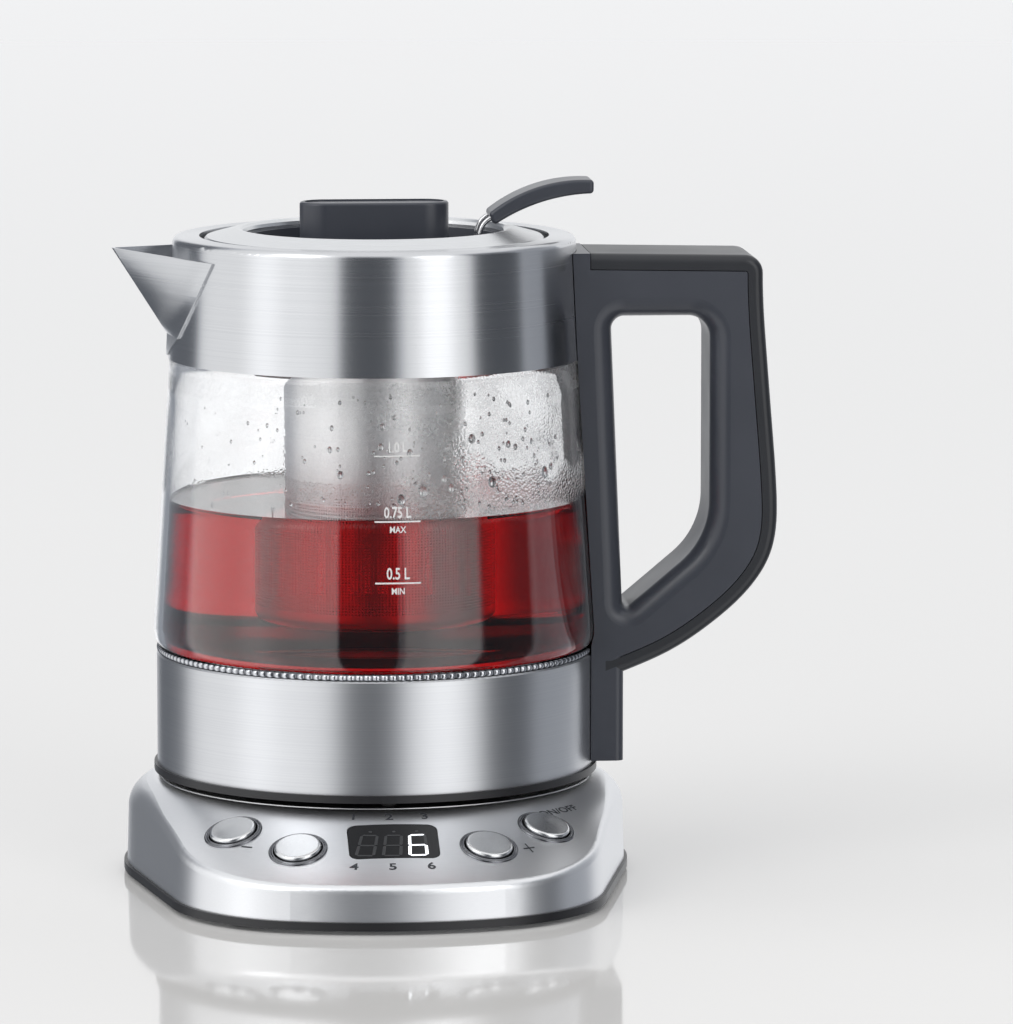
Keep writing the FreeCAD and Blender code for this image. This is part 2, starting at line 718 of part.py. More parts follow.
def collar_outer_r(height):
    share = (height - collar_low_height) / (collar_height - collar_shoulder_r - collar_low_height)
    return collar_low_r + share * (collar_top_r - collar_low_r)


ring_low = neck_low + 1
ring_high = glass_top_height - 1
nodes["upper_seal_ring"] = raised(turned([
    (glass_neck_r, ring_low), (collar_outer_r(ring_low) - collar_wall - seal_gap, ring_low),
    (collar_outer_r(ring_high) - collar_wall - seal_gap, ring_high), (glass_neck_r, ring_high),
]))
shoulder_z = collar_height - collar_shoulder_r
shoulder_x = collar_top_r - collar_shoulder_r
bend = math.sqrt(0.5)
inner_bend = collar_shoulder_r - collar_wall
under_ledge = collar_ledge_height - collar_wall
under_top = collar_height - collar_wall
drop_r = collar_mouth_r + collar_wall
collar_edges = [
    side_line((collar_low_r, collar_low_height), (collar_top_r, shoulder_z)),
    side_arc((collar_top_r, shoulder_z),
             (shoulder_x + bend * collar_shoulder_r, shoulder_z + bend * collar_shoulder_r),
             (shoulder_x, collar_height)),
    side_line((shoulder_x, collar_height), (collar_mouth_r, collar_height)),
    side_line((collar_mouth_r, collar_height), (collar_mouth_r, collar_ledge_height)),
    side_line((collar_mouth_r, collar_ledge_height), (collar_ledge_r, collar_ledge_height)),
    side_line((collar_ledge_r, collar_ledge_height), (collar_ledge_r, under_ledge)),
    side_line((collar_ledge_r, under_ledge), (drop_r, under_ledge)),
    side_line((drop_r, under_ledge), (drop_r, under_top)),
    side_line((drop_r, under_top), (shoulder_x, under_top)),
    side_arc((shoulder_x, under_top), (shoulder_x + bend * inner_bend, shoulder_z + bend * inner_bend),
             (collar_top_r - collar_wall, shoulder_z)),
    side_line((collar_top_r - collar_wall, shoulder_z), (collar_low_r - collar_wall, collar_low_height)),
    side_line((collar_low_r - collar_wall, collar_low_height), (collar_low_r, collar_low_height)),
]
collar = Part.Face(Part.Wire(collar_edges)).revolve(Vector(0, 0, 0), Vector(0, 0, 1), 360)


# Spout: horizontal V sections with a round keel. Their flanks run out to the collar and end on it in a step
# one sheet thick, so that the seam is a straight slanting line from the side.
def spout_keel_x(height):
    low = collar_outer_r(spout_keel_low) + spout_sheet
    if height <= spout_keel_low:
        return collar_outer_r(height) + spout_sheet
    return low + (spout_tip_x - low) * (height - spout_keel_low) / (spout_tip_height - spout_keel_low)


def spout_root_angle(height):
    share = (height - spout_bottom) / (spout_root_height - spout_bottom)
    return math.radians(spout_low_angle + (spout_half_angle - spout_low_angle) * share ** 0.58)


def spout_section(height, inset):
    angle = spout_root_angle(height) - inset / collar_outer_r(height)
    root_r = collar_outer_r(height) + spout_sheet - inset
    root = (root_r * math.cos(angle), root_r * math.sin(angle))
    tip = max(spout_keel_x(height) - inset, root[0] + 0.1)
    foot_r = collar_outer_r(height) - 3 * spout_sheet
    foot = (foot_r * math.cos(angle), foot_r * math.sin(angle))
    lean = math.atan2(root[1], tip - root[0])
    keel = min(spout_keel_r, 0.45 * (tip - root[0]), 0.45 * root[1])
    touch = (tip - keel * (1 - math.sin(lean)), keel * math.cos(lean))
    corners = [root, touch, (touch[0], -touch[1]), (root[0], -root[1]), (foot[0], -foot[1]), foot]
    points = [(-x, y, height) for x, y in corners]
    return Part.Wire([
        line_edge(points[0], points[1]), arc_edge(points[1], (-tip, 0, height), points[2]),
        line_edge(points[2], points[3]), line_edge(points[3], points[4]),
        line_edge(points[4], points[5]), line_edge(points[5], points[0]),
    ])


def spout_form(inset, low, high):
    """A loft through evenly spaced sections, with one more where the keel leaves the collar."""
    steps = 6
    levels = [low] if low < spout_keel_low else []
    start = max(low, spout_keel_low)
    levels += [start + (high - start) * i / steps for i in range(steps + 1)]
    return Part.makeLoft([spout_section(h, inset) for h in levels], True, True)


spout_high = spout_tip_height + 1.0
spout_outer = spout_form(0, spout_bottom, spout_high)
spout_inner = spout_form(spout_wall, spout_keel_low + 1.5, spout_high + 1.0)
collar_form = turned([
    (0, collar_low_height - 4), (collar_outer_r(collar_low_height - 4), collar_low_height - 4),
    (collar_outer_r(collar_height), collar_height), (0, collar_height),
])
top_cut = Part.Face(polygon([
    (-spout_tip_x - 5, 0, spout_tip_height + 5 * (spout_tip_height - spout_root_height) / spout_tip_x),
    (-0.6 * spout_tip_x, 0, spout_root_height), (-0.6 * spout_tip_x, 0, spout_high + 5),
    (-spout_tip_x - 5, 0, spout_high + 5),
])).extrude(Vector(0, 2 * spout_tip_x, 0))
top_cut = moved(top_cut, y=-spout_tip_x)
nodes["spout"] = raised(spout_outer.cut(spout_inner).cut(top_cut).cut(collar_form))
pour_hole = spout_inner.common(block(-90, -40, -60, 60, spout_keel_low + 3, collar_ledge_height - 3.5))
nodes["collar"] = raised(collar.cut(pour_hole))

# Filter: a perforated strip bent to the collar's inner wall behind the spout
filter_low = spout_keel_low + 1.0
filter_high = collar_ledge_height - 2.0
filter_outer = turned([
    (collar_outer_r(filter_low) - collar_wall - filter_wall, filter_low),
    (collar_outer_r(filter_low) - collar_wall - 0.05, filter_low),
    (collar_outer_r(filter_high) - collar_wall - 0.05, filter_high),
    (collar_outer_r(filter_high) - collar_wall - filter_wall, filter_high),
])
wedge_reach = 90.0
half_wedge = wedge_reach * math.tan(math.radians(spout_half_angle))
wedge = Part.Face(polygon([(0, 0, 0), (-wedge_reach, half_wedge, 0), (-wedge_reach, -half_wedge, 0)]))
filter_strip = filter_outer.common(wedge.extrude(Vector(0, 0, 200)))
filter_rows = int((filter_high - filter_low - 4) / filter_hole_pitch)
for row in range(filter_rows):
    height = filter_low + 3 + row * filter_hole_pitch
    share = (height - spout_bottom) / (spout_root_height - spout_bottom)
    columns = int(share * spout_half_angle / 4.4)
    for column in range(-columns, columns + 1):
        angle = math.radians(180 + 3.2 * column)
        way = (math.cos(angle), math.sin(angle))
        hole = rod(filter_hole_r, (50 * way[0], 50 * way[1], height), (70 * way[0], 70 * way[1], height))
        filter_strip = filter_strip.cut(hole)
nodes["spout_filter"] = raised(filter_strip)

# Handle outline seen from the side: a flat top, a round corner, a bellied back and a lower arm
handle_top_tilt = math.atan2(handle_top_left - handle_top_right, handle_corner_x - handle_root_x)
handle_corner_r = seam_corner_r + cover_band
handle_corner_centre = (
    handle_corner_x - handle_corner_r,
    handle_top_left - (handle_corner_x - handle_corner_r - handle_root_x) * math.tan(handle_top_tilt)
    - handle_corner_r / math.cos(handle_top_tilt),
)
handle_back = [
    (handle_corner_x, handle_corner_centre[1]),
    (handle_corner_x + 1.3, 130.0),
    (handle_belly_x - 1.6, 109.0),
    (handle_belly_x, handle_belly_height),
    (handle_belly_x - 1.9, 67.3),
    (handle_belly_x - 9.4, 55.5),
    (103.4, 45.8),
    (90.1, 37.1),
    (74.0, 30.2),
]
handle_tail_way = (-0.93, -0.37)


def inset_points(points, distance):
    """Moves each point square to its neighbours' line, towards the handle's inside."""
    ways = [(points[i + 1][0] - points[i - 1][0], points[i + 1][1] - points[i - 1][1])
            for i in range(1, len(points) - 1)]
    ways = [(0.0, -1.0)] + ways + [handle_tail_way]
    return [(x + distance * dz / math.hypot(dx, dz), z - distance * dx / math.hypot(dx, dz))
            for (x, z), (dx, dz) in zip(points, ways)]


def in_side_view(point):
    return (point[0], 0, point[1])


def handle_loop(inset):
    """The handle's solid side shape, as a prism across its whole width."""
    back = inset_points(handle_back, inset)
    curve = Part.BSplineCurve()
    curve.interpolate(
        Points=[Vector(x, 0, z) for x, z in back],
        InitialTangent=Vector(0, 0, -1),
        FinalTangent=Vector(handle_tail_way[0], 0, handle_tail_way[1]),
    )
    radius = handle_corner_r - inset
    top_way = math.pi / 2 - handle_top_tilt
    arc_start, arc_middle, arc_end = [
        (handle_corner_centre[0] + radius * math.cos(way), handle_corner_centre[1] + radius * math.sin(way))
        for way in (top_way, top_way / 2, 0)
    ]
    run = arc_start[0] - handle_root_x
    root_top = (handle_root_x, arc_start[1] + run * math.tan(handle_top_tilt))
    root_low = (handle_root_x, back[-1][1])
    edges = [
        line_edge(in_side_view(root_top), in_side_view(arc_start)),
        arc_edge(in_side_view(arc_start), in_side_view(arc_middle), in_side_view(arc_end)),
        curve.toShape(),
        line_edge(in_side_view(back[-1]), in_side_view(root_low)),
        line_edge(in_side_view(root_low), in_side_view(root_top)),
    ]
    prism = Part.Face(Part.Wire(edges)).extrude(Vector(0, handle_width, 0))
    return moved(prism, y=-handle_width / 2)


def finger_gap():
    """The opening for the hand, with round corners and a slanted lower edge."""
    slant = math.tan(math.radians(gap_slant_angle))
    corners = [
        (spine_low_x, handle_gap_bottom, 1.5),
        (spine_high_x, handle_gap_top, 4.0),
        (handle_gap_right_x, handle_gap_top, 7.0),
        (handle_gap_right_x, handle_gap_bottom + slant * (handle_gap_right_x - spine_low_x), 25.0),
    ]
    face = Part.Face(polygon([(x, 0, z) for x, z, _ in corners]))
    prism = moved(face.extrude(Vector(0, handle_width + 20, 0)), y=-handle_width / 2 - 10)
    for x, z, radius in corners:
        upright = [e for e in prism.Edges if e.BoundBox.YLength > handle_width
                   and abs(e.BoundBox.XMin - x) < 0.01 and abs(e.BoundBox.ZMin - z) < 0.01]
        prism = prism.makeFillet(radius, upright)
    return prism


body_clearance = turned([
    (0, -5), (kettle_rim_r + 0.3, -5), (kettle_rim_r + 0.3, kettle_rim_height + 0.2),
    (band_r + body_gap, kettle_rim_height + 0.2), (seal_r + body_gap, seal_top + 0.2),
    (glass_belly_r + body_gap, glass_belly_height - 2), (glass_belly_r + body_gap, glass_belly_height),
    (collar_low_r + body_gap, collar_low_height - 0.6), (collar_low_r + body_gap, collar_low_height),
    (collar_outer_r(shoulder_z) + body_gap, shoulder_z), (collar_outer_r(shoulder_z) + body_gap, 200),
    (0, 200),
])
half = handle_width / 2
cover_outer = handle_loop(0)
cover_cut = handle_loop(cover_band)
long_edges = [
    e for e in cover_outer.Edges
    if e.BoundBox.YLength < 0.01 and e.BoundBox.XMax > handle_corner_x - 20]
cover_outer = cover_outer.makeFillet(cover_round_r, long_edges)
nose = block(0, cover_nose_x, -50, 50, 0, 100)
cover_band_solid = cover_outer.cut(cover_cut).cut(nose).cut(block(0, cover_start_x, -50, 50, 100, 200))
nodes["handle_cover"] = raised(cover_band_solid)

spine = Part.Face(polygon([
    (handle_root_x, 0, spine_bottom), (spine_low_x, 0, spine_bottom), (spine_low_x, 0, handle_gap_bottom - 6),
    (spine_low_x + 8, 0, handle_gap_bottom - 6), (spine_low_x + 8, 0, handle_gap_top + 8),
    (handle_root_x, 0, handle_gap_top + 8),
])).extrude(Vector(0, handle_width, 0))
spine = moved(spine, y=-half)
spine_edges = [
    e for e in spine.Edges
    if e.BoundBox.YLength < 0.01 and abs(e.BoundBox.XMin - spine_low_x) < 0.01
    and e.BoundBox.XLength < 0.01 and e.BoundBox.ZMin < spine_bottom + 1]
spine = spine.makeFillet(spine_edge_r, spine_edges)
grip_stub = block(handle_root_x, cover_start_x - seam_gap, -half, half, handle_gap_top + 4, handle_stub_top)
grip = joined([handle_loop(cover_band + seam_gap), spine, grip_stub]).cut(finger_gap())
gap_edges = []
for edge in grip.Edges:
    middle = edge.valueAt(0.5 * (edge.FirstParameter + edge.LastParameter))
    in_gap = spine_high_x - 1 < middle.x < handle_gap_right_x + 0.1 and middle.z < handle_gap_top + 0.1
    if edge.BoundBox.YLength < 0.01 and in_gap and middle.z > handle_gap_bottom + 0.2:
        gap_edges.append(edge)
grip = grip.makeFillet(grip_round_r, gap_edges)
grip = grip.cut(body_clearance).cut(cover_band_solid)
nodes["handle_grip"] = raised(grip)


# Screws that hold the handle: one through the collar, one through the lower band, heads inside
screw_rods = []
for height, inside_x in ((upper_screw_height, collar_outer_r(upper_screw_height) - collar_wall - 0.3),
                         (lower_screw_height, band_r - band_wall - 0.3)):
    head = rod(handle_screw_head_r, (inside_x - 1.5, 0, height), (inside_x, 0, height))
    shank = rod(handle_screw_r, (inside_x, 0, height), (inside_x + handle_screw_length, 0, height))
    screw_rods.append(joined([head, shank]))
nodes["handle_screws"] = raised(Part.makeCompound(screw_rods))
for name in ("handle_grip", "collar", "lower_band"):
    for screw in screw_rods:
        nodes[name] = nodes[name].cut(raised(screw))

# Lid: a steel ring over a dark liner, with a scoop for the strainer's handle
def scoop_rod(radius):
    """A rod along the strainer handle's way out; its underside is the scoop's floor."""
    high = lid_ring_top - scoop_depth + scoop_r
    return rod(radius, (lid_opening_r - 8, 0, high), (lid_ring_r + 20, 0, high - 1.6))


lid_flange_low = collar_ledge_height + running_gap
lid_flange_top = lid_flange_low + lid_flange_wall
lid_crown = [
    (lid_ring_r - 0.6, lid_ring_edge), (lid_ring_inner_r + 0.6, lid_ring_top),
    (lid_ring_inner_r - 0.6, lid_ring_top - 0.1), (lid_opening_r + 0.3, lid_ring_top - 0.9),
    (lid_opening_r, lid_ring_top - 1.9),
]
lid_ring = turned([
    (lid_ring_r - lid_wall, lid_flange_top), (lid_ring_r, lid_flange_top), (lid_ring_r, lid_ring_edge - 0.6),
    *lid_crown, (lid_opening_r, lid_flange_top + 1),
    (lid_opening_r + lid_wall, lid_flange_top + 1), (lid_opening_r + lid_wall, lid_ring_top - 2.2),
    (lid_ring_inner_r, lid_ring_top - 1.2), (lid_ring_r - lid_wall, lid_ring_edge - 1.2),
])
ring_form = turned([
    (lid_opening_r, lid_flange_top + 1), (lid_ring_r, lid_flange_top + 1), (lid_ring_r, lid_ring_edge - 0.6),
    *lid_crown,
])
scoop_floor = scoop_rod(scoop_r + lid_wall).common(ring_form)
lid_ring = joined([lid_ring, scoop_floor]).cut(scoop_rod(scoop_r))
nodes["lid_ring"] = raised(lid_ring)
liner_outer_r = collar_ledge_r - 2.6
nodes["lid_liner"] = raised(turned([
    (liner_ledge_r, liner_bottom), (liner_ledge_r + liner_wall, liner_bottom),
    (liner_ledge_r + liner_wall, liner_ledge - liner_wall), (liner_outer_r, liner_ledge - liner_wall),
    (liner_outer_r, collar_ledge_height - 3.2),
    (liner_outer_r - 1.2, collar_ledge_height - 3.2), (liner_outer_r - 1.2, collar_ledge_height - 1.2),
    (liner_outer_r, collar_ledge_height - 1.2), (liner_outer_r, lid_flange_low), (lid_ring_r, lid_flange_low),
    (lid_ring_r, lid_flange_top), (lid_opening_r - 0.3, lid_flange_top),
    (lid_opening_r - 0.3, lid_flange_top + 3.0), (liner_r + 0.8, lid_flange_top + 3.0),
    (liner_r + 0.6, liner_ledge), (liner_ledge_r, liner_ledge),
]))
nodes["lid_seal"] = raised(turned([
    (liner_outer_r - 1.2, collar_ledge_height - 3.2), (liner_outer_r + 0.4, collar_ledge_height - 3.2),
    (seal_proud_r, collar_ledge_height - 1.7), (liner_outer_r + 0.4, collar_ledge_height - 1.2),
    (liner_outer_r - 1.2, collar_ledge_height - 1.2),
]))

# Strainer: basket, flange, handle wires and grip
flange_low = liner_ledge + running_gap
flange_top = flange_low + strainer_flange_wall
nodes["strainer_basket"] = raised(turned([
    (0, strainer_bottom), (strainer_r - 1.0, strainer_bottom), (strainer_r, strainer_bottom + 1.0),
    (strainer_r, strainer_neck), (strainer_r - strainer_wall, strainer_neck),
    (strainer_r - strainer_wall, strainer_bottom + strainer_wall + 0.4),
    (strainer_r - strainer_wall - 0.4, strainer_bottom + strainer_wall), (0, strainer_bottom + strainer_wall),
]))
nodes["strainer_rim"] = raised(turned([
    (strainer_r - strainer_wall, strainer_neck), (strainer_r, strainer_neck),
    (strainer_neck_r + strainer_wall, flange_low), (strainer_flange_r, flange_low),
    (strainer_flange_r, flange_top), (strainer_neck_r, flange_top),
]))
lean = math.radians(wire_lean)
wire_up = flange_top + wire_straight
bend_end = (wire_x + wire_bend_r * (1 - math.cos(lean)), wire_up + wire_bend_r * math.sin(lean))
wire_tip = (bend_end[0] + wire_reach * math.sin(lean), bend_end[1] + wire_reach * math.cos(lean))
wires = []
for side in (-1, 1):
    y = side * wire_spacing / 2
    straight = Part.makeCylinder(wire_r, wire_straight, Vector(wire_x, y, flange_top))
    disc = Part.Face(Part.Wire(Part.makeCircle(wire_r, Vector(wire_x, y, wire_up))))
    bow = disc.revolve(Vector(wire_x + wire_bend_r, y, wire_up), Vector(0, 1, 0), wire_lean)
    reach = rod(wire_r, (bend_end[0], y, bend_end[1]), (wire_tip[0], y, wire_tip[1]))
    wires.append(joined([straight, bow, reach]))
nodes["strainer_handle_wires"] = raised(Part.makeCompound(wires))
grip_edges = [
    side_arc(*grip_top_points),
    side_line(grip_top_points[2], grip_low_points[2]),
    side_arc(*reversed(grip_low_points)),
    side_line(grip_low_points[0], grip_top_points[0]),
]
strainer_grip = Part.Face(Part.Wire(grip_edges)).extrude(Vector(0, grip_width, 0))
strainer_grip = moved(strainer_grip, y=-grip_width / 2)
strainer_grip = strainer_grip.makeFillet(grip_edge_r, strainer_grip.Edges)
for wire in wires:
    strainer_grip = strainer_grip.cut(wire)
nodes["strainer_grip"] = raised(strainer_grip)

# Strainer cap with its bar knob and the screw that holds it
cap_low = flange_top + running_gap
cap_top = cap_low + cap_wall
cap = Part.makeCylinder(cap_r, cap_wall, Vector(0, 0, cap_low))
cap = cap.fuse(tube(cap_spigot_r, cap_spigot_r - 1.6, cap_low - 3.5, cap_low))
cap_notch = block(cap_notch_x, cap_r + 5, -cap_notch_width / 2, cap_notch_width / 2,
                  cap_low - 10, cap_top + 10)
cap = cap.cut(cap_notch)


def stadium(length, width, z0, z1):
    half_run = (length - width) / 2
    bar = block(-half_run, half_run, -width / 2, width / 2, z0, z1)
    for side in (-1, 1):
        bar = bar.fuse(Part.makeCylinder(width / 2, z1 - z0, Vector(side * half_run, 0, z0)))
    return bar.removeSplitter()


knob = stadium(knob_length, knob_width, cap_top, knob_top)
knob_edges = [e for e in knob.Edges if abs(e.BoundBox.ZMin - knob_top) < 1e-6]
knob = knob.makeFillet(knob_edge_r, knob_edges)
dish_width = knob_width - 2 * knob_dish_margin
knob = knob.cut(stadium(knob_length - 2 * knob_dish_margin, dish_width, knob_top - knob_dish, knob_top + 1))
screw_head_z = cap_low - 1.2
knob_screw_bore = Part.makeCylinder(1.5, 9.0, Vector(0, 0, cap_low))
knob_head = Part.makeCylinder(3.0, 1.2, Vector(0, 0, screw_head_z))
knob_screw = knob_head.fuse(knob_screw_bore).removeSplitter()
nodes["strainer_cap"] = raised(cap.cut(knob_screw))
nodes["cap_knob"] = raised(knob.cut(knob_screw))
nodes["knob_screw"] = raised(knob_screw)

# The origin goes to the centre of the footprint, on the table
box = Part.makeCompound(list(nodes.values())).optimalBoundingBox(False)
shift = Vector(-(box.XMin + box.XMax) / 2, -(box.YMin + box.YMax) / 2, 0)
os.makedirs("parts", exist_ok=True)
for name, shape in nodes.items():
    shape.translate(shift)
    shape.exportStep("parts/" + name + ".step")
    print(name, len(shape.Solids), round(shape.Volume), "valid" if shape.isValid() else "not valid")
print("shift", shift.x, shift.y, "size", box.XLength, box.YLength, box.ZMax)
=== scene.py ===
import math
import random

import bpy
import numpy as np
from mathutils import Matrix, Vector


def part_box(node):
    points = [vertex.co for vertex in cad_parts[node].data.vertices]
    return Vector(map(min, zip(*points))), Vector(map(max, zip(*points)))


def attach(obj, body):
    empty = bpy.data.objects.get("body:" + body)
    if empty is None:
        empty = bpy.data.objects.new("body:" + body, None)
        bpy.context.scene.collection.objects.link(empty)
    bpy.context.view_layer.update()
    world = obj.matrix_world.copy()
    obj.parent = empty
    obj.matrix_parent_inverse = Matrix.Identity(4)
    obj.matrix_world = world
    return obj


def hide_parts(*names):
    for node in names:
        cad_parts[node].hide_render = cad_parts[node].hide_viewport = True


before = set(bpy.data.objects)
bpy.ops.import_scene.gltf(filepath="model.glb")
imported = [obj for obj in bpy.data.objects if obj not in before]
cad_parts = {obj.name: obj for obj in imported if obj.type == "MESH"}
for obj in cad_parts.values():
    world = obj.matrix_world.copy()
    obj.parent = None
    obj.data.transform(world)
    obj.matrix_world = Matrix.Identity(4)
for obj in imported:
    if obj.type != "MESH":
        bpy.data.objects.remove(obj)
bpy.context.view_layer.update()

# The kettle's own axis is the axis of its glass, and every height on it is counted from the lower edge of its
# black rim. The seat is that edge's height above the table when the kettle stands on its base.
glass_low, glass_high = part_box("glass_body")
axis_x = 0.5 * (glass_low.x + glass_high.x)
axis_y = 0.5 * (glass_low.y + glass_high.y)
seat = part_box("kettle_bottom_cover")[0].z
mm = 0.001


# Camera: a long lens in front of the control panel, a little left of centre and looking slightly down.
focal_px = 6500.0
camera_distance = 2.0
camera_height = 0.3788
camera_round = math.radians(-3.6)
camera_pitch = math.radians(7.6)
camera_yaw = math.atan(132.7 / focal_px)
camera_data = bpy.data.cameras.new("photo_camera")
camera_data.sensor_fit = "VERTICAL"
camera_data.sensor_height = 36.0
camera_data.lens = focal_px * 36.0 / 1024.0
camera_data.clip_end = 60.0
camera = bpy.data.objects.new("photo_camera", camera_data)
bpy.context.scene.collection.objects.link(camera)
camera.location = (
    axis_x + camera_distance * math.sin(camera_round),
    axis_y - camera_distance * math.cos(camera_round),
    camera_height,
)
camera.rotation_euler = (math.pi / 2 - camera_pitch, 0, camera_round - camera_yaw)
bpy.context.scene.camera = camera
bpy.context.scene.view_settings.view_transform = "Standard"


class Ink:
    """One output socket of a material; sums, products and comparisons of inks add Math nodes."""

    def __init__(self, tree, socket):
        self.tree = tree
        self.socket = socket

    def math(self, operation, *values):
        return self.node("ShaderNodeMath", {"operation": operation}, dict(enumerate(values)))

    def node(self, kind, settings=None, inputs=None, output=0):
        """Adds any node: its settings first, then the values or links of its sockets."""
        new = self.tree.nodes.new(kind)
        for key, value in (settings or {}).items():
            setattr(new, key, value)
        for key, value in (inputs or {}).items():
            if isinstance(value, Ink):
                self.tree.links.new(value.socket, new.inputs[key])
            else:
                new.inputs[key].default_value = value
        return Ink(self.tree, new.outputs[output])

    def other(self, output):
        """Another output of the node this ink comes from."""
        return Ink(self.tree, self.socket.node.outputs[output])

    def noise(self, scale, detail=2.0):
        """Cloudy noise over this place."""
        return self.node("ShaderNodeTexNoise", {}, {"Vector": self, "Scale": scale, "Detail": detail})

    def bump(self, strength, distance):
        """Relief whose height is this ink."""
        return self.node("ShaderNodeBump", {}, {"Strength": strength, "Distance": distance, "Height": self})

    def parts(self):
        """The x, y and z of a place."""
        x = self.node("ShaderNodeSeparateXYZ", {}, {0: self})
        return x, x.other(1), x.other(2)

    def __add__(self, other):
        return self.math("ADD", self, other)

    def __sub__(self, other):
        return self.math("SUBTRACT", self, other)

    def __rsub__(self, other):
        return self.math("SUBTRACT", other, self)

    def __mul__(self, other):
        return self.math("MULTIPLY", self, other)

    def __lt__(self, other):
        return self.math("LESS_THAN", self, other)

    __radd__ = __add__
    __rmul__ = __mul__


def eased(ink, low, high, at_low=0.0, at_high=1.0):
    """A smooth step from one value to another between two readings."""
    return ink.node("ShaderNodeMapRange", {"interpolation_type": "SMOOTHSTEP"}, {
        "Value": ink, "From Min": low, "From Max": high, "To Min": at_low, "To Max": at_high,
    })


def blended(ink, amount, first, second):
    """Mixes two colours, each three numbers or an ink, by an amount."""
    ends = [end if isinstance(end, Ink) else (*end, 1) for end in (first, second)]
    return ink.node("ShaderNodeMix", {"data_type": "RGBA"}, {0: amount, 6: ends[0], 7: ends[1]}, output=2)


# Studio: a bright room with flags in it. The dark strip beside the camera and the wide one on the right draw
# the upright bands on the steel and the glass. The camera itself sees only the pale floor, and what shows
# through the glass is the back of the room, a little brighter than the rest.
world = bpy.data.worlds.new("studio")
bpy.context.scene.world = world
world.use_nodes = True
sky_tree = world.node_tree
sky = Ink(sky_tree, sky_tree.nodes.new("ShaderNodeTexCoord").outputs["Generated"])
way_x, way_y, way_z = sky.parts()
turn = way_x.math("ARCTAN2", way_x, way_y * -1.0) * (180.0 / math.pi)


def strip(left, right, softness, depth):
    """A strip of the room between two directions, in degrees right of the front, its light cut by the depth."""
    off = turn.math("ABSOLUTE", turn - 0.5 * (left + right))
    half = 0.5 * (right - left)
    return 1.0 - eased(off, half - softness, half + softness, 1.0, 0.0) * depth


def gleam(left, right, softness, gain):
    """A strip of the room that is brighter than the rest."""
    return strip(left, right, softness, -gain)


room_light = 1.05
backdrop_light = 0.80
behind_loss = 0.08
behind_glass_gain = 0.22
flag_tint = (0.80, 0.87, 1.0)
lit_tint = (0.99, 0.993, 1.0)
room = strip(-23.0, 9.0, 1.6, 0.9) * strip(9.0, 12.0, 1.6, 0.5) * strip(54.0, 88.0, 2.0, 0.9)
room = room * strip(88.0, 128.0, 6.0, 0.6) * strip(-165.0, -120.0, 4.0, 0.82)
room = room * gleam(-78.0, -60.0, 8.0, 0.35) * gleam(24.0, 44.0, 8.0, 0.25)
behind = eased(way_y, 0.35, 0.7)
room = room * (1.0 - behind * behind_loss)
overhead = eased(way_z, 0.55, 0.8)
room = room * (1.0 - overhead) + overhead
camera_ray = sky.node("ShaderNodeLightPath", {}, {}, output=0)
through_ray = camera_ray.other("Is Transmission Ray")
strength = room * (1.0 - camera_ray) * room_light + camera_ray * backdrop_light
strength = strength + through_ray * behind * behind_glass_gain
background = sky_tree.nodes["Background"]
sky_tree.links.new(blended(sky, room, flag_tint, lit_tint).socket, background.inputs["Color"])
sky_tree.links.new(strength.socket, background.inputs["Strength"])


def softbox(name, power, size, spot, target):
    data = bpy.data.lights.new(name, "AREA")
    data.shape = "RECTANGLE"
    data.size, data.size_y = size
    data.energy = power
    lamp = bpy.data.objects.new(name, data)
    bpy.context.scene.collection.objects.link(lamp)
    lamp.location = spot
    lamp.rotation_euler = (Vector(target) - Vector(spot)).to_track_quat("-Z", "Y").to_euler()


softbox("key_softbox", 7.0, (0.9, 1.2), (-1.3, -1.0, 1.3), (axis_x, axis_y, 0.1))
softbox("fill_softbox", 3.0, (0.6, 1.2), (0.9, -1.5, 0.9), (axis_x, axis_y, 0.1))


def new_finish(name, colour, rough, **constants):
    """A material with one shader; what is the same all over is set on its sockets."""
    material = bpy.data.materials.new(name)
    material.use_nodes = True
    tree = material.node_tree
    shader = tree.nodes["Principled BSDF"]
    shader.inputs["Base Color"].default_value = (*colour, 1.0)
    shader.inputs["Roughness"].default_value = rough
    for key, value in constants.items():
        shader.inputs[key.replace("_", " ")].default_value = value
    place = tree.nodes.new("ShaderNodeTexCoord")
    return material, shader, Ink(tree, place.outputs["Object"])


def feed(ink, shader, socket):
    ink.tree.links.new(ink.socket, shader.inputs[socket])


# Floor: a pale glossy table that mirrors the base softly and runs out of sight. Metal and glass look straight
# through it, so the flags of the room run down to the foot of every steel wall.
floor_reach = 25.0
floor_corners = [(x * floor_reach, y * floor_reach, 0) for x, y in ((-1, -1), (1, -1), (1, 1), (-1, 1))]
floor_mesh = bpy.data.meshes.new("floor")
floor_mesh.from_pydata(floor_corners, [], [(0, 1, 2, 3)])
floor = bpy.data.objects.new("floor", floor_mesh)
bpy.context.scene.collection.objects.link(floor)
floor_finish, floor_shader, floor_place = new_finish("pale_table", (0.795, 0.783, 0.765), 0.06, IOR=1.5)
floor_tree = floor_finish.node_tree
glossy_ray = floor_place.node("ShaderNodeLightPath", {}, {}).other("Is Glossy Ray")
unseen = floor_place.node("ShaderNodeBsdfTransparent")
floor_ink = Ink(floor_tree, floor_shader.outputs[0])
shown = floor_place.node("ShaderNodeMixShader", {}, {0: glossy_ray, 1: floor_ink, 2: unseen})
feed(shown, floor_tree.nodes["Material Output"], "Surface")
floor_mesh.materials.append(floor_finish)


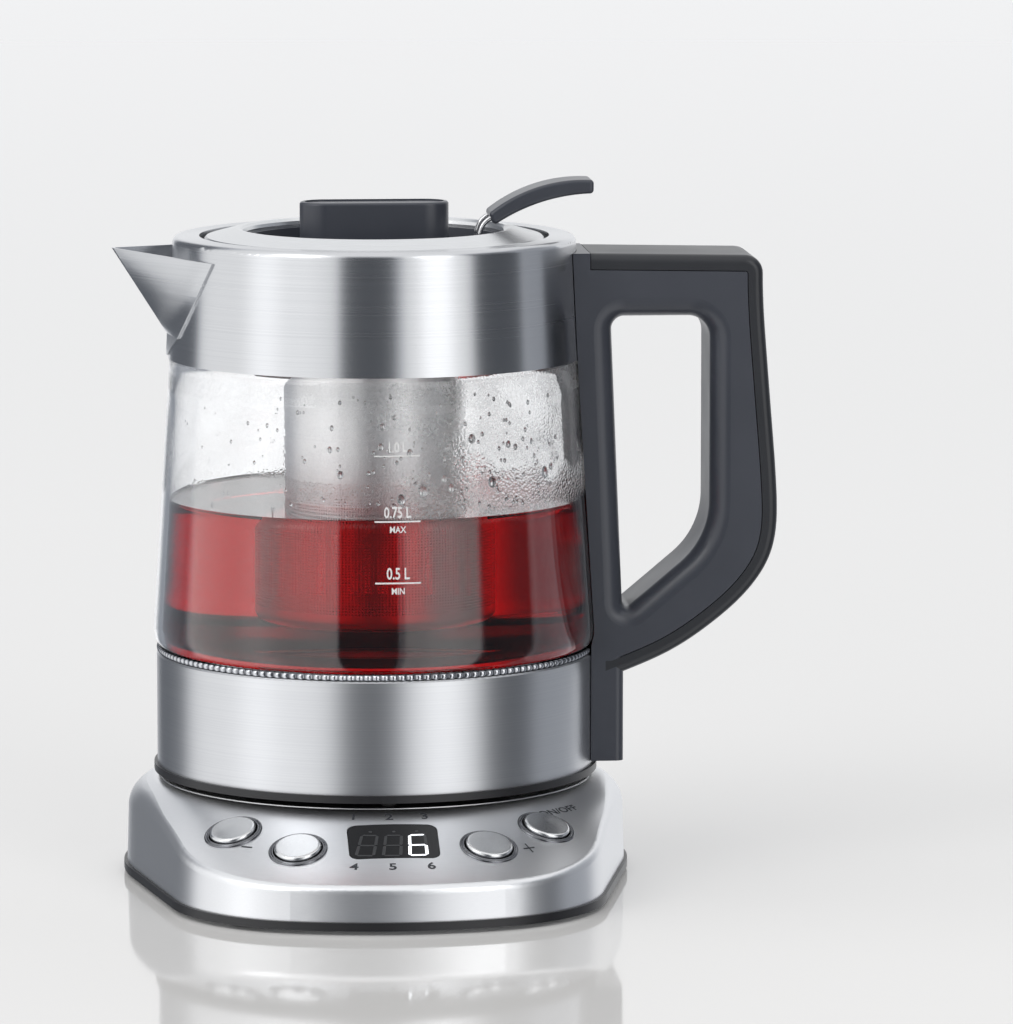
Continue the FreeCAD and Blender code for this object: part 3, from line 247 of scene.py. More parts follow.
# Steel of the base, band, collar, spout and lid: brushed stainless sheet. The brush runs round every turned
# piece, so its hair-fine streaks change quickly with height and slowly along the wall.
def dressed(material, *nodes):
    for name in nodes:
        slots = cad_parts[name].data.materials
        if len(slots) == 0:
            slots.append(material)
        for i in range(len(slots)):
            slots[i] = material


def streaks(place, stretch, detail=3.0):
    """Noise drawn out along the brush: the stretch is its scale along x, y and z."""
    spread = place.node("ShaderNodeVectorMath", {"operation": "MULTIPLY"}, {0: place, 1: stretch})
    return spread.noise(1.0, detail)


hair_height = 0.2 * mm


def brushed(name, light, dark, rough, stretch, relief=0.02, **constants):
    """Metal whose colour, roughness and relief follow the streaks of the brush."""
    material, shader, place = new_finish(name, light, rough, Metallic=1.0, **constants)
    hair = streaks(place, stretch)
    cloud = place.noise(22.0)
    feed(blended(place, eased(hair * 0.7 + cloud * 0.3, 0.3, 0.7), dark, light), shader, "Base Color")
    feed(hair * 0.08 + (rough - 0.04), shader, "Roughness")
    feed(hair.bump(relief, hair_height), shader, "Normal")
    return material


round_brush = (2.5, 2.5, 2200.0)
side_steel = brushed("brushed_side_steel", (0.665, 0.675, 0.69), (0.61, 0.62, 0.64), 0.26, round_brush,
                     relief=0.006, Anisotropic=0.75, Anisotropic_Rotation=0.25)
dressed(side_steel, "collar", "spout", "spout_filter")
band_steel = brushed("brushed_band_steel", (0.70, 0.71, 0.725), (0.64, 0.65, 0.67), 0.36, round_brush,
                     relief=0.006, Anisotropic=0.6, Anisotropic_Rotation=0.25)
dressed(band_steel, "lower_band")

# The skin of the base is one deep-drawn sheet, brushed from side to side. Its flat top is painted almost
# white as painted light, standing in for the light it catches from above; the panel and the walls are a shade
# darker.
top_plate_from = 29.4 * mm
top_plate_full = 30.4 * mm
base_steel, base_shader, base_place = new_finish("brushed_base_steel", (0.7, 0.71, 0.72), 0.30, Metallic=1.0,
                                                 Anisotropic=0.4)
base_height = base_place.parts()[2]
base_hair = streaks(base_place, (2.0, 2200.0, 2200.0))
# Painted light: the top plate's colour is painted lighter than the walls' where it faces up.
painted_light_top_share = eased(base_height, top_plate_from, top_plate_full)
wall_colour = blended(base_place, base_hair, (0.78, 0.79, 0.81), (0.84, 0.85, 0.865))
painted_light_top_colour = blended(base_place, base_hair, (0.92, 0.925, 0.93), (0.965, 0.967, 0.97))
feed(blended(base_place, painted_light_top_share, wall_colour, painted_light_top_colour), base_shader, "Base Color")
feed(base_hair * 0.06 + 0.27, base_shader, "Roughness")
feed(base_hair.bump(0.005, hair_height), base_shader, "Normal")
dressed(base_steel, "base_skin")


# Base tray, inner frame, feet and screws: black moulded tray with a fine spark-eroded grain, screwed up into
# the frame from below, on four soft feet.
def moulded(name, colour, rough, grain=2600.0, relief=0.12, **constants):
    """Moulded plastic: a fine grain in the relief, and slow patches in colour and gloss from handling."""
    material, shader, place = new_finish(name, colour, rough, **constants)
    fine = place.noise(grain)
    patch = place.noise(45.0, 3.0)
    shade = tuple(0.86 * part for part in colour)
    feed(blended(place, patch, shade, tuple(1.1 * part for part in colour)), shader, "Base Color")
    feed(patch * 0.14 + (rough - 0.07), shader, "Roughness")
    feed(fine.bump(relief, 0.1 * mm), shader, "Normal")
    return material


def polished(name, colour, rough):
    """Plated or polished metal with faint wiping marks."""
    material, shader, place = new_finish(name, colour, rough, Metallic=1.0)
    wipe = streaks(place, (60.0, 60.0, 240.0))
    feed(blended(place, wipe, tuple(0.9 * part for part in colour), colour), shader, "Base Color")
    feed(wipe * 0.08 + rough, shader, "Roughness")
    return material


black_plastic = moulded("black_plastic", (0.016, 0.016, 0.018), 0.38)
rubber = moulded("foot_rubber", (0.02, 0.02, 0.021), 0.75, grain=1200.0, relief=0.3)
chrome = polished("bright_plate", (0.74, 0.74, 0.75), 0.10)
dressed(black_plastic, "base_tray", "base_inner_frame", "kettle_bottom_cover", "cord_gland")
dressed(rubber, "base_feet", "kettle_feet")
dressed(chrome, "base_screws", "handle_screws", "knob_screw")


# Electronics in the base: printed boards under green lacquer, small black switches, the relay, the display
# module and the brass contacts. With them come the kettle's plate of polished steel and the element under it.
board_green, board_shader, board_place = new_finish("board_lacquer", (0.03, 0.18, 0.07), 0.35,
                                                    Coat_Weight=0.3)
traces = board_place.node("ShaderNodeTexBrick", {"offset": 0.3}, {
    "Vector": board_place, "Color1": (0.02, 0.14, 0.05, 1), "Color2": (0.03, 0.17, 0.06, 1),
    "Mortar": (0.06, 0.28, 0.11, 1), "Scale": 330.0, "Mortar Size": 0.03,
})
feed(traces, board_shader, "Base Color")
relay_black = moulded("relay_case", (0.02, 0.02, 0.022), 0.5, grain=1500.0)
module_grey = moulded("module_case", (0.10, 0.10, 0.10), 0.5, grain=1500.0)
brass = polished("contact_brass", (0.78, 0.60, 0.28), 0.22)
element_metal = brushed("element_sheath", (0.44, 0.41, 0.38), (0.34, 0.31, 0.29), 0.36, (500.0, 500.0, 40.0))
plate_steel = brushed("heater_plate_steel", (0.90, 0.90, 0.90), (0.82, 0.82, 0.83), 0.20, (30.0, 500.0, 30.0))
dressed(board_green, "switch_boards", "display_board", "mains_board")
dressed(relay_black, "power_relay", "button_switches")
dressed(module_grey, "display_module")
dressed(brass, "socket_contacts")
dressed(element_metal, "heating_element", "temperature_sensor")
dressed(plate_steel, "heater_plate")


# Mains connector on the base's crown: a black turned body with bright contact rings in its top, a dark plated
# washer round its foot, a black ring pressed into the crown, and a wire clip at the left of its neck.
connector_black = moulded("connector_black", (0.012, 0.012, 0.013), 0.24, grain=1800.0, relief=0.05)
dressed(connector_black, "connector_body", "connector_bezel", "coupling_socket")
dark_plate = polished("dark_washer_plate", (0.24, 0.245, 0.26), 0.22)
dressed(dark_plate, "connector_washer")
dressed(chrome, "connector_spring_clip", "connector_centre_pin", "connector_contacts")


# Control panel: the slope in front of the crown is a cone about the kettle's axis. Every ring, sign and digit
# on it is placed by a radius and an angle from the front line, and lies on that cone.
panel_slope = math.radians(21.9)
panel_top_r = 67.0 * mm
panel_top_z = 30.6 * mm


def on_cone(radius, angle, lift):
    """Points on the panel: the height falls with the radius, and the lift is square to the slope."""
    radius, angle, lift = np.broadcast_arrays(radius, angle, lift)
    out = radius + lift * math.sin(panel_slope)
    height = panel_top_z - (radius - panel_top_r) * math.tan(panel_slope) + lift * math.cos(panel_slope)
    return np.stack([axis_x + out * np.sin(angle), axis_y - out * np.cos(angle), height], -1)


def on_panel(u, v, lift, radius, angle):
    """Points of a flat drawing, u to the right and v up the slope, bent round a place on the cone."""
    middle = radius - v * math.cos(panel_slope)
    return on_cone(middle, angle + u / radius, lift)


def new_piece(name, points, faces, body, material, smooth=True):
    mesh = bpy.data.meshes.new(name)
    mesh.from_pydata(np.reshape(points, (-1, 3)).tolist(), [], [tuple(face) for face in faces])
    mesh.polygons.foreach_set("use_smooth", np.full(len(mesh.polygons), smooth))
    piece = bpy.data.objects.new(name, mesh)
    bpy.context.scene.collection.objects.link(piece)
    mesh.materials.append(material)
    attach(piece, body)
    return piece


def sheet_faces(rows, columns, wrap=False, start=0):
    """Quads over a grid of points, rows by columns; wrap joins the last column to the first."""
    index = start + np.arange(rows * columns).reshape(rows, columns)
    right = np.roll(index, -1, axis=1)
    if not wrap:
        index, right = index[:, :-1], right[:, :-1]
    return np.stack([index[:-1], right[:-1], right[1:], index[1:]], -1).reshape(-1, 4)


# Button caps and rings: satin turned metal caps with a polished round edge, each in a dark ring with two fine
# ridges that is pressed into the steel. The rings stand for the plain tubes of the frame.
cap_metal, cap_shader, cap_place = new_finish("button_face", (0.74, 0.75, 0.76), 0.22, Metallic=1.0,
                                              Anisotropic=0.6)
cap_hair = cap_place.noise(1500.0)
feed(blended(cap_place, cap_hair, (0.66, 0.67, 0.68), (0.78, 0.79, 0.80)), cap_shader, "Base Color")
feed(cap_hair * 0.1 + 0.15, cap_shader, "Roughness")
dressed(cap_metal, "button_programme", "button_minus", "button_plus", "button_start")

outer_place = (82.9 * mm, math.radians(34.8))
inner_place = (89.3 * mm, math.radians(18.7))
ring_profile = np.array([
    (7.42, -0.9), (7.42, 0.18), (7.55, 0.42), (7.8, 0.5), (8.05, 0.42), (8.15, 0.22),
    (8.25, 0.22), (8.38, 0.38), (8.6, 0.43), (8.8, 0.32), (8.93, 0.1), (8.93, -0.25),
]) * mm
ring_steps = 72


def panel_ring(profile, steps, radius, angle):
    """A ring turned about the normal of the panel at one place: (distance from the middle, lift) round it."""
    around = np.linspace(0, 2 * np.pi, steps, endpoint=False)
    off, lift = profile.T
    right = np.array([math.cos(angle), math.sin(angle), 0.0])
    up = np.array([-math.sin(angle) * math.cos(panel_slope), math.cos(angle) * math.cos(panel_slope),
                   math.sin(panel_slope)])
    normal = np.cross(right, up)
    return (on_cone(radius, angle, 0.0) + off[:, None, None] * np.cos(around)[None, :, None] * right
            + off[:, None, None] * np.sin(around)[None, :, None] * up + lift[:, None, None] * normal)


ring_metal = polished("button_ring_plate", (0.20, 0.205, 0.22), 0.16)
ring_points, ring_faces = [], []
for radius, angle in (outer_place, inner_place):
    for side in (-1, 1):
        start = len(ring_points) * len(ring_profile) * ring_steps
        ring_faces.append(sheet_faces(len(ring_profile), ring_steps, True, start))
        ring_points.append(panel_ring(ring_profile, ring_steps, radius, side * angle))
rings = new_piece("button_rings", np.array(ring_points), np.concatenate(ring_faces)[:, ::-1], "base",
                  ring_metal)
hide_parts("button_bezels")


# Printing on the panel: small dark grey signs, screen printed. Only general ones are used: on and off, a
# minus, a plus and the numbers of the programmes.
capital_share = 0.70
bold_share = 0.02


def lettering(text, height, stretch=1.0):
    """A text as flat points (u, v) about its middle, and faces; the height is that of its capitals."""
    curve = bpy.data.curves.new("lettering", "FONT")
    curve.body = text
    curve.size = height / capital_share
    curve.offset = bold_share * curve.size
    curve.align_x = "CENTER"
    curve.align_y = "CENTER"
    curve.resolution_u = 3
    carrier = bpy.data.objects.new("lettering", curve)
    bpy.context.scene.collection.objects.link(carrier)
    mesh = bpy.data.meshes.new_from_object(carrier.evaluated_get(bpy.context.evaluated_depsgraph_get()))
    flat = np.zeros(len(mesh.vertices) * 3)
    mesh.vertices.foreach_get("co", flat)
    faces = [tuple(p.vertices) for p in mesh.polygons]
    bpy.data.objects.remove(carrier)
    bpy.data.curves.remove(curve)
    bpy.data.meshes.remove(mesh)
    flat = flat.reshape(-1, 3)[:, :2]
    return flat * (stretch, 1.0), faces


def printed(name, marks, place, body, material):
    """Joins flat drawings into one piece: each has points (u, v), faces and arguments of the place function."""
    points, faces = [], []
    for (flat, polygons), spot in marks:
        start = sum(len(part) for part in points)
        points.append(place(flat[:, 0], flat[:, 1], *spot))
        faces += [tuple(start + i for i in polygon) for polygon in polygons]
    return new_piece(name, np.concatenate(points), faces, body, material, smooth=False)


def bar(width, height, steps=8):
    """A flat upright strip (u, v) about its middle, cut along u so that it can bend."""
    u, v = np.meshgrid(np.linspace(-width / 2, width / 2, steps + 1), [-height / 2, height / 2])
    return np.stack([u.ravel(), v.ravel()], -1), sheet_faces(2, steps + 1).tolist()


def ink_finish(name, colour, rough):
    """Screen print: slightly uneven cover."""
    material, shader, place = new_finish(name, colour, rough)
    cover = place.noise(900.0)
    feed(blended(place, cover, tuple(0.8 * part for part in colour), colour), shader, "Base Color")
    return material


grey_print = ink_finish("grey_print", (0.035, 0.038, 0.045), 0.5)
print_lift = 0.05 * mm


def panel_spot(radius_mm, degrees):
    """Where a sign or digit lies on the panel, as on_panel takes it."""
    return print_lift, radius_mm * mm, math.radians(degrees)


minus_spot = panel_spot(89.5, -29.2)
plus_spot = panel_spot(91.7, 26.5)
signs = [
    (lettering("ON/OFF", 2.8 * mm, 1.15), panel_spot(76.1, 43.5)),
    (bar(3.6 * mm, 0.65 * mm), minus_spot),
    (bar(3.8 * mm, 0.65 * mm), plus_spot),
    (bar(0.45 * mm, 5.0 * mm, 2), plus_spot),
]
upper_row_r, lower_row_r = 71.6, 97.3
for number, angle in (("1", -9.0), ("2", -0.4), ("3", 8.2)):
    signs.append((lettering(number, 3.2 * mm, 1.1), panel_spot(upper_row_r, angle)))
for number, angle in (("4", -7.4), ("5", -0.6), ("6", 6.2)):
    signs.append((lettering(number, 3.4 * mm, 1.1), panel_spot(lower_row_r, angle)))
printed("panel_signs", signs, on_panel, "base", grey_print)


# Display: a smoked acrylic window with three seven-bar digits and a row of small lamps. Unlit cells and lamps
# are given a faint painted glow so that they show as dim grey, and the last digit is lit.
window_black, window_shader, window_place = new_finish("smoked_window", (0.004, 0.004, 0.005), 0.07,
                                                       Specular_IOR_Level=0.25)
feed(window_place.noise(140.0, 3.0) * 0.06 + 0.04, window_shader, "Roughness")
dressed(window_black, "display_window")


def glowing(name, colour, strength):
    """A cell of the display, its light a little uneven."""
    material, shader, place = new_finish(name, colour, 0.4, Emission_Strength=strength)
    grain = place.noise(500.0)
    feed(blended(place, grain, tuple(0.85 * part for part in colour), colour), shader, "Emission Color")
    return material


digit_width = 4.9 * mm
digit_height = 11.2 * mm
cell = 0.75 * mm
cell_gap = 0.12 * mm
half_flat, half_upright = 0.5, 0.62
digit_slant = 0.10


def digit_cells(names):
    """Seven bars, a to g, clockwise from the top with g in the middle, each a strip with pointed ends."""
    half_w, half_h = digit_width / 2, digit_height / 2
    runs = {
        "a": ((-half_w, half_h), (half_w, half_h)), "b": ((half_w, half_h), (half_w, 0)),
        "c": ((half_w, 0), (half_w, -half_h)), "d": ((-half_w, -half_h), (half_w, -half_h)),
        "e": ((-half_w, 0), (-half_w, -half_h)), "f": ((-half_w, half_h), (-half_w, 0)),
        "g": ((-half_w, 0), (half_w, 0)),
    }
    points, faces = [], []
    for name in names:
        start, end = (np.array(p) for p in runs[name])
        along = (end - start) / np.linalg.norm(end - start)
        across = np.array([-along[1], along[0]]) * cell * (half_flat if along[0] else half_upright)
        start, end = start + along * cell_gap, end - along * cell_gap
        point = along * cell * 0.5
        faces.append(tuple(range(len(points), len(points) + 6)))
        points += [start, start + point - across, end - point - across,
                   end, end - point + across, start + point + across]
    flat = np.array(points)
    flat[:, 0] += flat[:, 1] * digit_slant
    return flat, faces


def disc(radius, steps=12):
    around = np.linspace(0, 2 * np.pi, steps, endpoint=False)
    return np.stack([np.cos(around), np.sin(around)], -1) * radius, [tuple(range(steps))]


display_r = 86.3
lamp_row_r = display_r - 7.1
# The unlit cells and lamps glow faintly as painted light, though they are not lit.
unlit_cells_painted_glow = glowing("unlit_cells_painted_glow", (0.022, 0.023, 0.025), 0.3)
lit_cells = glowing("lit_cells", (0.92, 0.95, 1.0), 1.0)
dim_marks, lit_marks = [], []
for angle, lit in ((-5.3, ""), (-0.2, ""), (4.8, "acdefg")):
    spot = panel_spot(display_r, angle)
    dim = "".join(name for name in "abcdefg" if name not in lit)
    dim_marks.append((digit_cells(dim), spot))
    if lit:
        lit_marks.append((digit_cells(lit), spot))
    dim_marks.append((disc(0.55 * mm), panel_spot(lamp_row_r, angle + 0.5)))
printed("display_dim_cells", dim_marks, on_panel, "base", unlit_cells_painted_glow)
printed("display_lit_cells", lit_marks, on_panel, "base", lit_cells)


# Ribbed ring between the lower band and the glass: fine upright ribs, painted pale on the crests as painted
# highlight and dark in the troughs as painted shade, so that they read as a row of small beads. It stands for
# the plain seal ring of the frame.
def turned(profile, steps=256):
    """A profile of (radius, height) carried round the kettle's axis: x = r cos a, y = r sin a, z = h."""
    angle = np.linspace(0, 2 * np.pi, steps, endpoint=False)
    radius, height = np.array(profile, float).T
    return np.stack([
        axis_x + radius[:, None] * np.cos(angle),
        axis_y + radius[:, None] * np.sin(angle),
        seat + np.repeat(height[:, None], steps, axis=1),
    ], -1)


rib_count = 164
rib_steps = 10
rib_depth = 0.55
rib_root, rib_reach = 66.6, 1.35
trough_r, crest_r = 67.3 * mm, 67.9 * mm
rib_rows = np.array([(62.3, 37.02), (66.6, 37.02), (67.35, 37.1), (67.75, 37.4), (67.95, 37.9), (67.95, 38.3),
                     (67.75, 38.8), (67.35, 39.08), (66.6, 39.16), (62.3, 39.16)]) * mm
rib_angle = np.linspace(0, 2 * np.pi, rib_count * rib_steps, endpoint=False)
rib_wave = np.abs(np.sin(rib_angle * rib_count / 2))
ring_grid = turned(rib_rows, rib_count * rib_steps)
share_out = np.clip((rib_rows[:, 0] - rib_root * mm) / (rib_reach * mm), 0, 1)
rib_cut = rib_depth * mm * share_out[:, None] * (1 - rib_wave[None, :])
ring_grid[:, :, 0] -= rib_cut * np.cos(rib_angle)
ring_grid[:, :, 1] -= rib_cut * np.sin(rib_angle)


def from_axis(place):
    """The place counted from the kettle's axis and rim: x, z and the distance from the axis."""
    rim_middle = (axis_x, axis_y, seat)
    x, y, z = place.node("ShaderNodeVectorMath", {"operation": "SUBTRACT"}, {0: place, 1: rim_middle}).parts()
    return x, z, x.math("SQRT", x * x + y * y)


ribbed_clear, ribbed_shader, ribbed_place = new_finish("ribbed_clear_ring", (0.74, 0.76, 0.79), 0.14,
                                                       Metallic=1.0)
# Painted light: the troughs are painted dark as shade and the crests pale as highlight.
painted_crest_light = eased(from_axis(ribbed_place)[2], trough_r, crest_r)
feed(blended(ribbed_place, painted_crest_light, (0.14, 0.145, 0.16), (0.62, 0.63, 0.66)), ribbed_shader, "Base Color")
ribbed = new_piece("ribbed_ring", ring_grid, sheet_faces(len(rib_rows), rib_count * rib_steps, True),
                   "kettle", ribbed_clear)
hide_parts("lower_seal_ring")


# Glass jug: blown borosilicate, 2.5 mm thick, with a round heel and a long taper, fire-polished at the mouth
# and cemented into the collar. A fine mist roughens its inside above the tea, most of it at the right.
glass_wall = 2.5
belly = (68.8, 45.0)
glass_top = (63.45, 128.4)
taper = (glass_top[0] - belly[0]) / (glass_top[1] - belly[1])
neck_from = 121
jug_steps = 360


def jug_r(height):
    """Outer radius of the taper at a height."""
    return belly[0] + (np.asarray(height) - belly[1]) * taper


def heel(steps, foot_r, foot_height, top_r, bulge):
    """The round heel: a quarter wave from the foot out to the belly, its speed falling to nothing."""
    share = np.linspace(0, 1, steps)
    radius = foot_r + (top_r - foot_r) * np.sin(share * np.pi / 2) ** bulge
    height = foot_height + (belly[1] - foot_height) * (1 - np.cos(share * np.pi / 2))
    return np.stack([radius, height], -1)


outer_heel = heel(12, 66.5, 39.25, belly[0], 0.9)
inner_heel = heel(12, 63.85, 39.25, belly[0] - glass_wall, 0.9)
climb = np.linspace(belly[1], 128.0, 30)[1:]
outer_wall = np.stack([jug_r(climb), climb], -1)
inner_climb = climb[climb < neck_from]
inner_wall = np.stack([jug_r(inner_climb) - glass_wall, inner_climb], -1)
neck = np.array([(61.3, 128.8), (61.3, 135.6), (61.1, 135.95), (59.7, 135.95), (59.45, 135.6), (59.45, 125.8)])
glass_profile = np.concatenate([outer_heel, outer_wall, neck, inner_wall[::-1], inner_heel[::-1]])
glass_points = turned(glass_profile * mm, jug_steps)
glass_faces = sheet_faces(len(glass_profile), jug_steps, True)
first_row = np.arange(jug_steps)
last_row = first_row + (len(glass_profile) - 1) * jug_steps
closing_faces = np.stack([last_row, np.roll(last_row, -1), np.roll(first_row, -1), first_row], -1)
jug_glass, jug_shader, jug_place = new_finish("jug_glass", (0.995, 0.997, 0.997), 0.0, Transmission_Weight=1.0,
                                              IOR=1.5, Specular_IOR_Level=0.72)
jug_x, jug_z, jug_radius = from_axis(jug_place)
mid_wall_at_rim = (belly[0] - belly[1] * taper - 1.2) * mm
inside = jug_radius < jug_z * taper + mid_wall_at_rim
mist_cells = jug_place.node("ShaderNodeTexVoronoi", {"feature": "SMOOTH_F1"}, {
    "Vector": jug_place, "Scale": 1250.0, "Smoothness": 0.2})
mist_zone = eased(jug_z, 85.5 * mm, 90.0 * mm) * eased(jug_z, 94.0 * mm, 123.0 * mm, 1.0, 0.28)
mist_zone = mist_zone * eased(jug_x, -22.0 * mm, 12.0 * mm, 0.12, 1.0)
mist = (1.0 - mist_cells * 1.6) * eased(jug_place.noise(55.0, 3.0), 0.38, 0.58) * mist_zone * inside
feed(mist.bump(0.45, 0.2 * mm), jug_shader, "Normal")
glass = new_piece("glass_jug", glass_points, np.concatenate([glass_faces, closing_faces]), "kettle", jug_glass)
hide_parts("glass_body")


# Tea: a litre jug filled to the 0.75 mark. It is a body a hair inside the glass, closed but for a pinhole on
# the axis, with a small meniscus where it climbs the wall, and most of its red comes from its depth.
water_ior = 1.33
pinhole = 0.02
tea_gap = 0.15
tea_level = 84.6
meniscus, meniscus_fade = 0.9, 1.1
tea_heel = heel(10, 63.7 - tea_gap, 39.5, belly[0] - glass_wall - tea_gap, 0.9)
tea_climb = np.linspace(belly[1], tea_level + meniscus, 12)[1:]
tea_wall = np.stack([jug_r(tea_climb) - glass_wall - tea_gap, tea_climb], -1)
tea_edge_r = float(tea_wall[-1, 0])
curl = np.array([0.25, 0.6, 1.1, 1.9, 3.0, 4.5])
tea_top = np.stack([tea_edge_r - curl, tea_level + meniscus * np.exp(-curl / meniscus_fade)], -1)
tea_foot = [(pinhole, 29.8), (40.0, 29.8), (61.0, 29.8), (62.6, 30.6), (63.0, 33.0), (63.2, 38.4)]
tea_surface = [(40.0, tea_level), (pinhole, tea_level)]
tea_profile = np.concatenate([tea_foot, tea_heel, tea_wall, tea_top, tea_surface])
tea_steps = 240
tea_finish, tea_shader, tea_place = new_finish("brewed_tea", (0.88, 0.50, 0.34), 0.0, Transmission_Weight=1.0,
                                               IOR=water_ior, Specular_IOR_Level=0.8)
tea_depth = tea_place.node("ShaderNodeVolumeAbsorption", {}, {
    "Color": (0.962, 0.22, 0.03, 1.0), "Density": 200.0})
feed(tea_depth, tea_finish.node_tree.nodes["Material Output"], "Volume")
feed(tea_place.noise(30.0).bump(0.04, 1.0 * mm), tea_shader, "Normal")
new_piece("tea", turned(tea_profile * mm, tea_steps), sheet_faces(len(tea_profile), tea_steps, True), "kettle",
          tea_finish)


# Condensation: a breath of fine white mist on the inside of the glass, a thin skin with a broken, cloudy
# cover that is thinner at the left.
film_steps = 180
film_climb = np.linspace(85.8, 126.5, 14)
film_profile = np.stack([jug_r(film_climb) - glass_wall - 0.05, film_climb], -1)
film_finish, film_shader, film_place = new_finish("condensation", (1.0, 1.0, 1.0), 0.6)
film_cloud = film_place.noise(60.0, 5.0)
film_specks = film_place.noise(1100.0)
film_zone = eased(film_place.parts()[0], axis_x - 30.0 * mm, axis_x + 20.0 * mm, 0.35, 1.0)
film_cover = eased(film_cloud, 0.3, 0.7, 0.14, 0.42) * eased(film_specks, 0.35, 0.6, 0.5, 1.0)
feed(film_cover * film_zone, film_shader, "Alpha")
new_piece("condensation_film", turned(film_profile * mm, film_steps),
          sheet_faces(len(film_profile), film_steps, True), "kettle", film_finish)


# Drops on the inside of the glass above the tea: flat domes of water, small ones scattered about the front and
# the left, and larger ones listed one by one, most of them right of the marks.
random.seed(7)
drops = []
for _ in range(150):
    drops.append((random.gauss(22.0, 24.0), random.uniform(87.5, 124.0), random.uniform(0.28, 0.62)))
for _ in range(40):
    drops.append((random.uniform(-175.0, -20.0), random.uniform(86.5, 122.0), random.uniform(0.25, 0.5)))
drops += [
    (3.5, 91.5, 1.3), (9.5, 94.0, 1.55), (15.5, 97.5, 0.9), (17.5, 94.6, 1.15), (30.0, 95.5, 1.4),
    (6.0, 105.5, 1.0), (21.0, 103.0, 0.9), (24.0, 109.0, 1.2), (50.0, 96.5, 1.5), (53.0, 98.0, 0.9),
    (36.0, 106.5, 0.9), (38.5, 105.5, 0.8), (-2.0, 107.5, 0.9), (-1.5, 113.5, 0.9), (-13.0, 99.0, 1.0),
    (-15.5, 113.0, 0.7), (-16.0, 106.5, 0.8),
]
drop_angle, drop_height, drop_size = np.array(drops).T
drop_round, drop_rings = 14, 5
drop_wall_r = 64.0 * mm
drop_gap = 0.02 * mm
drop_swell = 0.55
sag_up, sag_down = 1.45, 1.1
sweep = np.linspace(0, 2 * np.pi, drop_round, endpoint=False)
rise = np.linspace(0, np.pi / 2, drop_rings)
away = np.cos(rise)[:, None] * np.ones(drop_round)
lift = np.sin(rise)[:, None] * np.ones(drop_round)
side_on = away * np.cos(sweep)
up_on = away * np.sin(sweep) * np.where(np.sin(sweep) > 0, sag_up, sag_down)
size_grid = (drop_size * mm)[:, None, None]
bearing = np.radians(drop_angle)[:, None, None] + side_on * size_grid / drop_wall_r
level = drop_height[:, None, None] * mm + up_on * size_grid
reach_in = (jug_r(level / mm) - glass_wall) * mm - drop_gap - lift * size_grid * drop_swell


def around_kettle(out, bearing, level):
    """Points at a distance from the kettle's axis, a bearing from the front and a height above its rim."""
    return np.stack([axis_x + out * np.sin(bearing), axis_y - out * np.cos(bearing), seat + level], -1)


drop_points = around_kettle(reach_in, bearing, level)
drop_faces = []
for number in range(len(drops)):
    start = number * drop_round * drop_rings
    drop_faces += sheet_faces(drop_rings, drop_round, True, start)[:, ::-1].tolist()
    drop_faces.append(list(range(start, start + drop_round)))
water, water_shader, water_place = new_finish("water_drops", (0.99, 0.995, 1.0), 0.0, Transmission_Weight=1.0,
                                              IOR=water_ior)
feed(water_place.noise(400.0) * 0.02, water_shader, "Roughness")
new_piece("condensed_drops", drop_points, drop_faces, "kettle", water)


# Scale on the glass: fired white print on the outside, a little right of the front, with a line for each
# quarter of a litre from the half litre up.
white_print = ink_finish("white_print", (0.88, 0.88, 0.87), 0.4)
scale_bearing = math.radians(2.3)


def on_glass(u, v, height):
    """A flat drawing wrapped round the outside of the glass at a height above the rim."""
    level = height * mm + v
    out = jug_r(level / mm) * mm + 0.03 * mm
    bearing = scale_bearing + u / out
    return around_kettle(out, bearing, level)


scale_marks = [
    (bar(13.9 * mm, 0.5 * mm, 12), (66.9,)), (bar(13.9 * mm, 0.5 * mm, 12), (85.4,)),
    (bar(13.9 * mm, 0.35 * mm, 12), (105.1,)),
    (lettering("0.5 L", 3.4 * mm, 0.72), (69.6,)), (lettering("MIN", 1.9 * mm, 0.85), (64.4,)),
    (lettering("0.75 L", 3.2 * mm, 0.72), (88.0,)), (lettering("MAX", 1.9 * mm, 0.85), (82.9,)),
    (lettering("1.0 L", 3.0 * mm, 0.72), (107.6,)),
]
printed("scale_marks", scale_marks, on_glass, "kettle", white_print)


# Seals of the collar and the lid: soft pale silicone rings, matt, pressed in between the glass and the steel.
silicone = moulded("silicone", (0.62, 0.62, 0.61), 0.6, grain=900.0)
dressed(silicone, "upper_seal_ring", "lid_seal")


# Handle: two moulded halves, the dark blue-grey grip with its inner loop and the darker cover over its back,
# joined in a fine seam and screwed to the collar and the band. The knob, the strainer's cap and grip and the
# lid's liner are of the same plastic as the grip.
grip_plastic = moulded("handle_plastic", (0.054, 0.059, 0.074), 0.32, grain=1900.0, relief=0.08)
cover_plastic = moulded("handle_cover_plastic", (0.022, 0.024, 0.029), 0.36, grain=1900.0, relief=0.08)
dressed(grip_plastic, "handle_grip", "cap_knob", "strainer_cap", "strainer_grip", "lid_liner")
dressed(cover_plastic, "handle_cover")


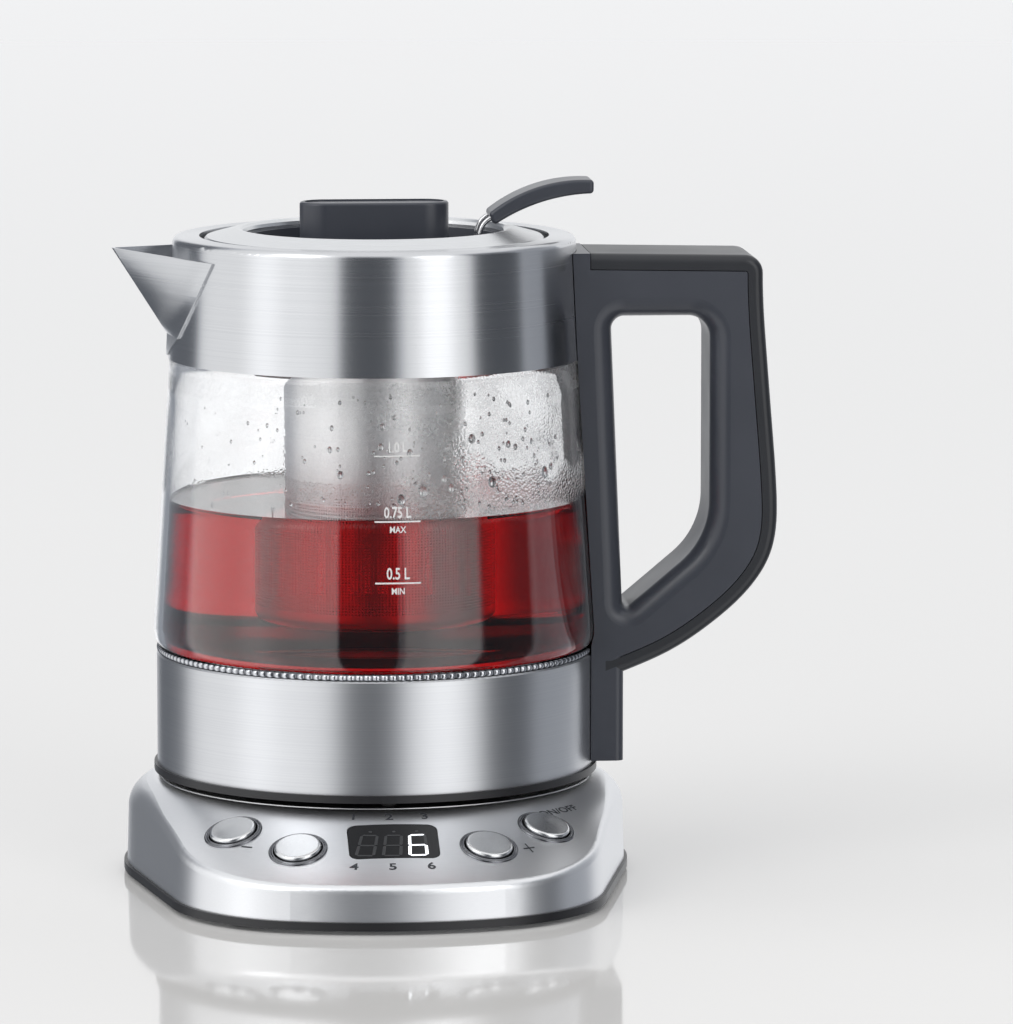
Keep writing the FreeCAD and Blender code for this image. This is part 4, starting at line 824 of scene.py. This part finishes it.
# Lid: a turned steel ring over a dark moulded liner, pressed on to it, that lifts out of the collar by hand.
lid_steel = brushed("brushed_lid_steel", (0.76, 0.77, 0.78), (0.70, 0.71, 0.72), 0.24, (3.0, 1800.0, 1800.0),
                    relief=0.006, Anisotropic=0.5)
dressed(lid_steel, "lid_ring")


# Strainer: a deep-drawn steel cup, its lower wall pierced with rows of small square holes and its floor closed,
# hung from a plain rim on two wires with a grip. The cup stands for the solid one of the frame.
cup_r = 28.0
cup_floor = 46.7
cup_corner = 3.0
cup_mouth = 139.95
cup_outer = cup_r - 0.02
cup_inner = cup_r - 0.58
pierced_low, pierced_high = 52.0, 92.0
hole_pitch = 0.88
hole_columns = int(round(2 * math.pi * cup_r / hole_pitch))
hole_rows = int(round((pierced_high - pierced_low) / hole_pitch))
cup_steps = 2 * hole_columns
corner = np.linspace(0, np.pi / 2, 6)
low_rows = [(pinhole, cup_floor), (12.0, cup_floor)]
low_rows += [(cup_r - cup_corner * (1 - math.sin(a)), cup_floor + cup_corner * (1 - math.cos(a)))
             for a in corner]
pierced_rows = [(cup_outer, height) for height in np.linspace(pierced_low, pierced_high, 2 * hole_rows + 1)]
high_rows = [(cup_outer, 100.0), (cup_outer, 130.0), (cup_outer, cup_mouth), (cup_inner, cup_mouth),
             (cup_inner, 92.5), (cup_outer, 92.2)]
cup_profile = low_rows + pierced_rows + high_rows
cup_points = turned(np.array(cup_profile) * mm, cup_steps)
cup_faces = sheet_faces(len(cup_profile), cup_steps, True).reshape(len(cup_profile) - 1, cup_steps, 4)
kept = np.ones(cup_faces.shape[:2], bool)
first = len(low_rows)
kept[first:first + 2 * hole_rows:2, ::2] = False
strainer_steel = brushed("brushed_strainer_steel", (0.97, 0.97, 0.97), (0.90, 0.90, 0.91), 0.42,
                         (3.0, 3.0, 1500.0), relief=0.01)
cup = new_piece("strainer_cup", cup_points, cup_faces[kept], "strainer", strainer_steel)
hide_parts("strainer_basket")
dressed(strainer_steel, "strainer_rim")
dressed(chrome, "strainer_handle_wires")
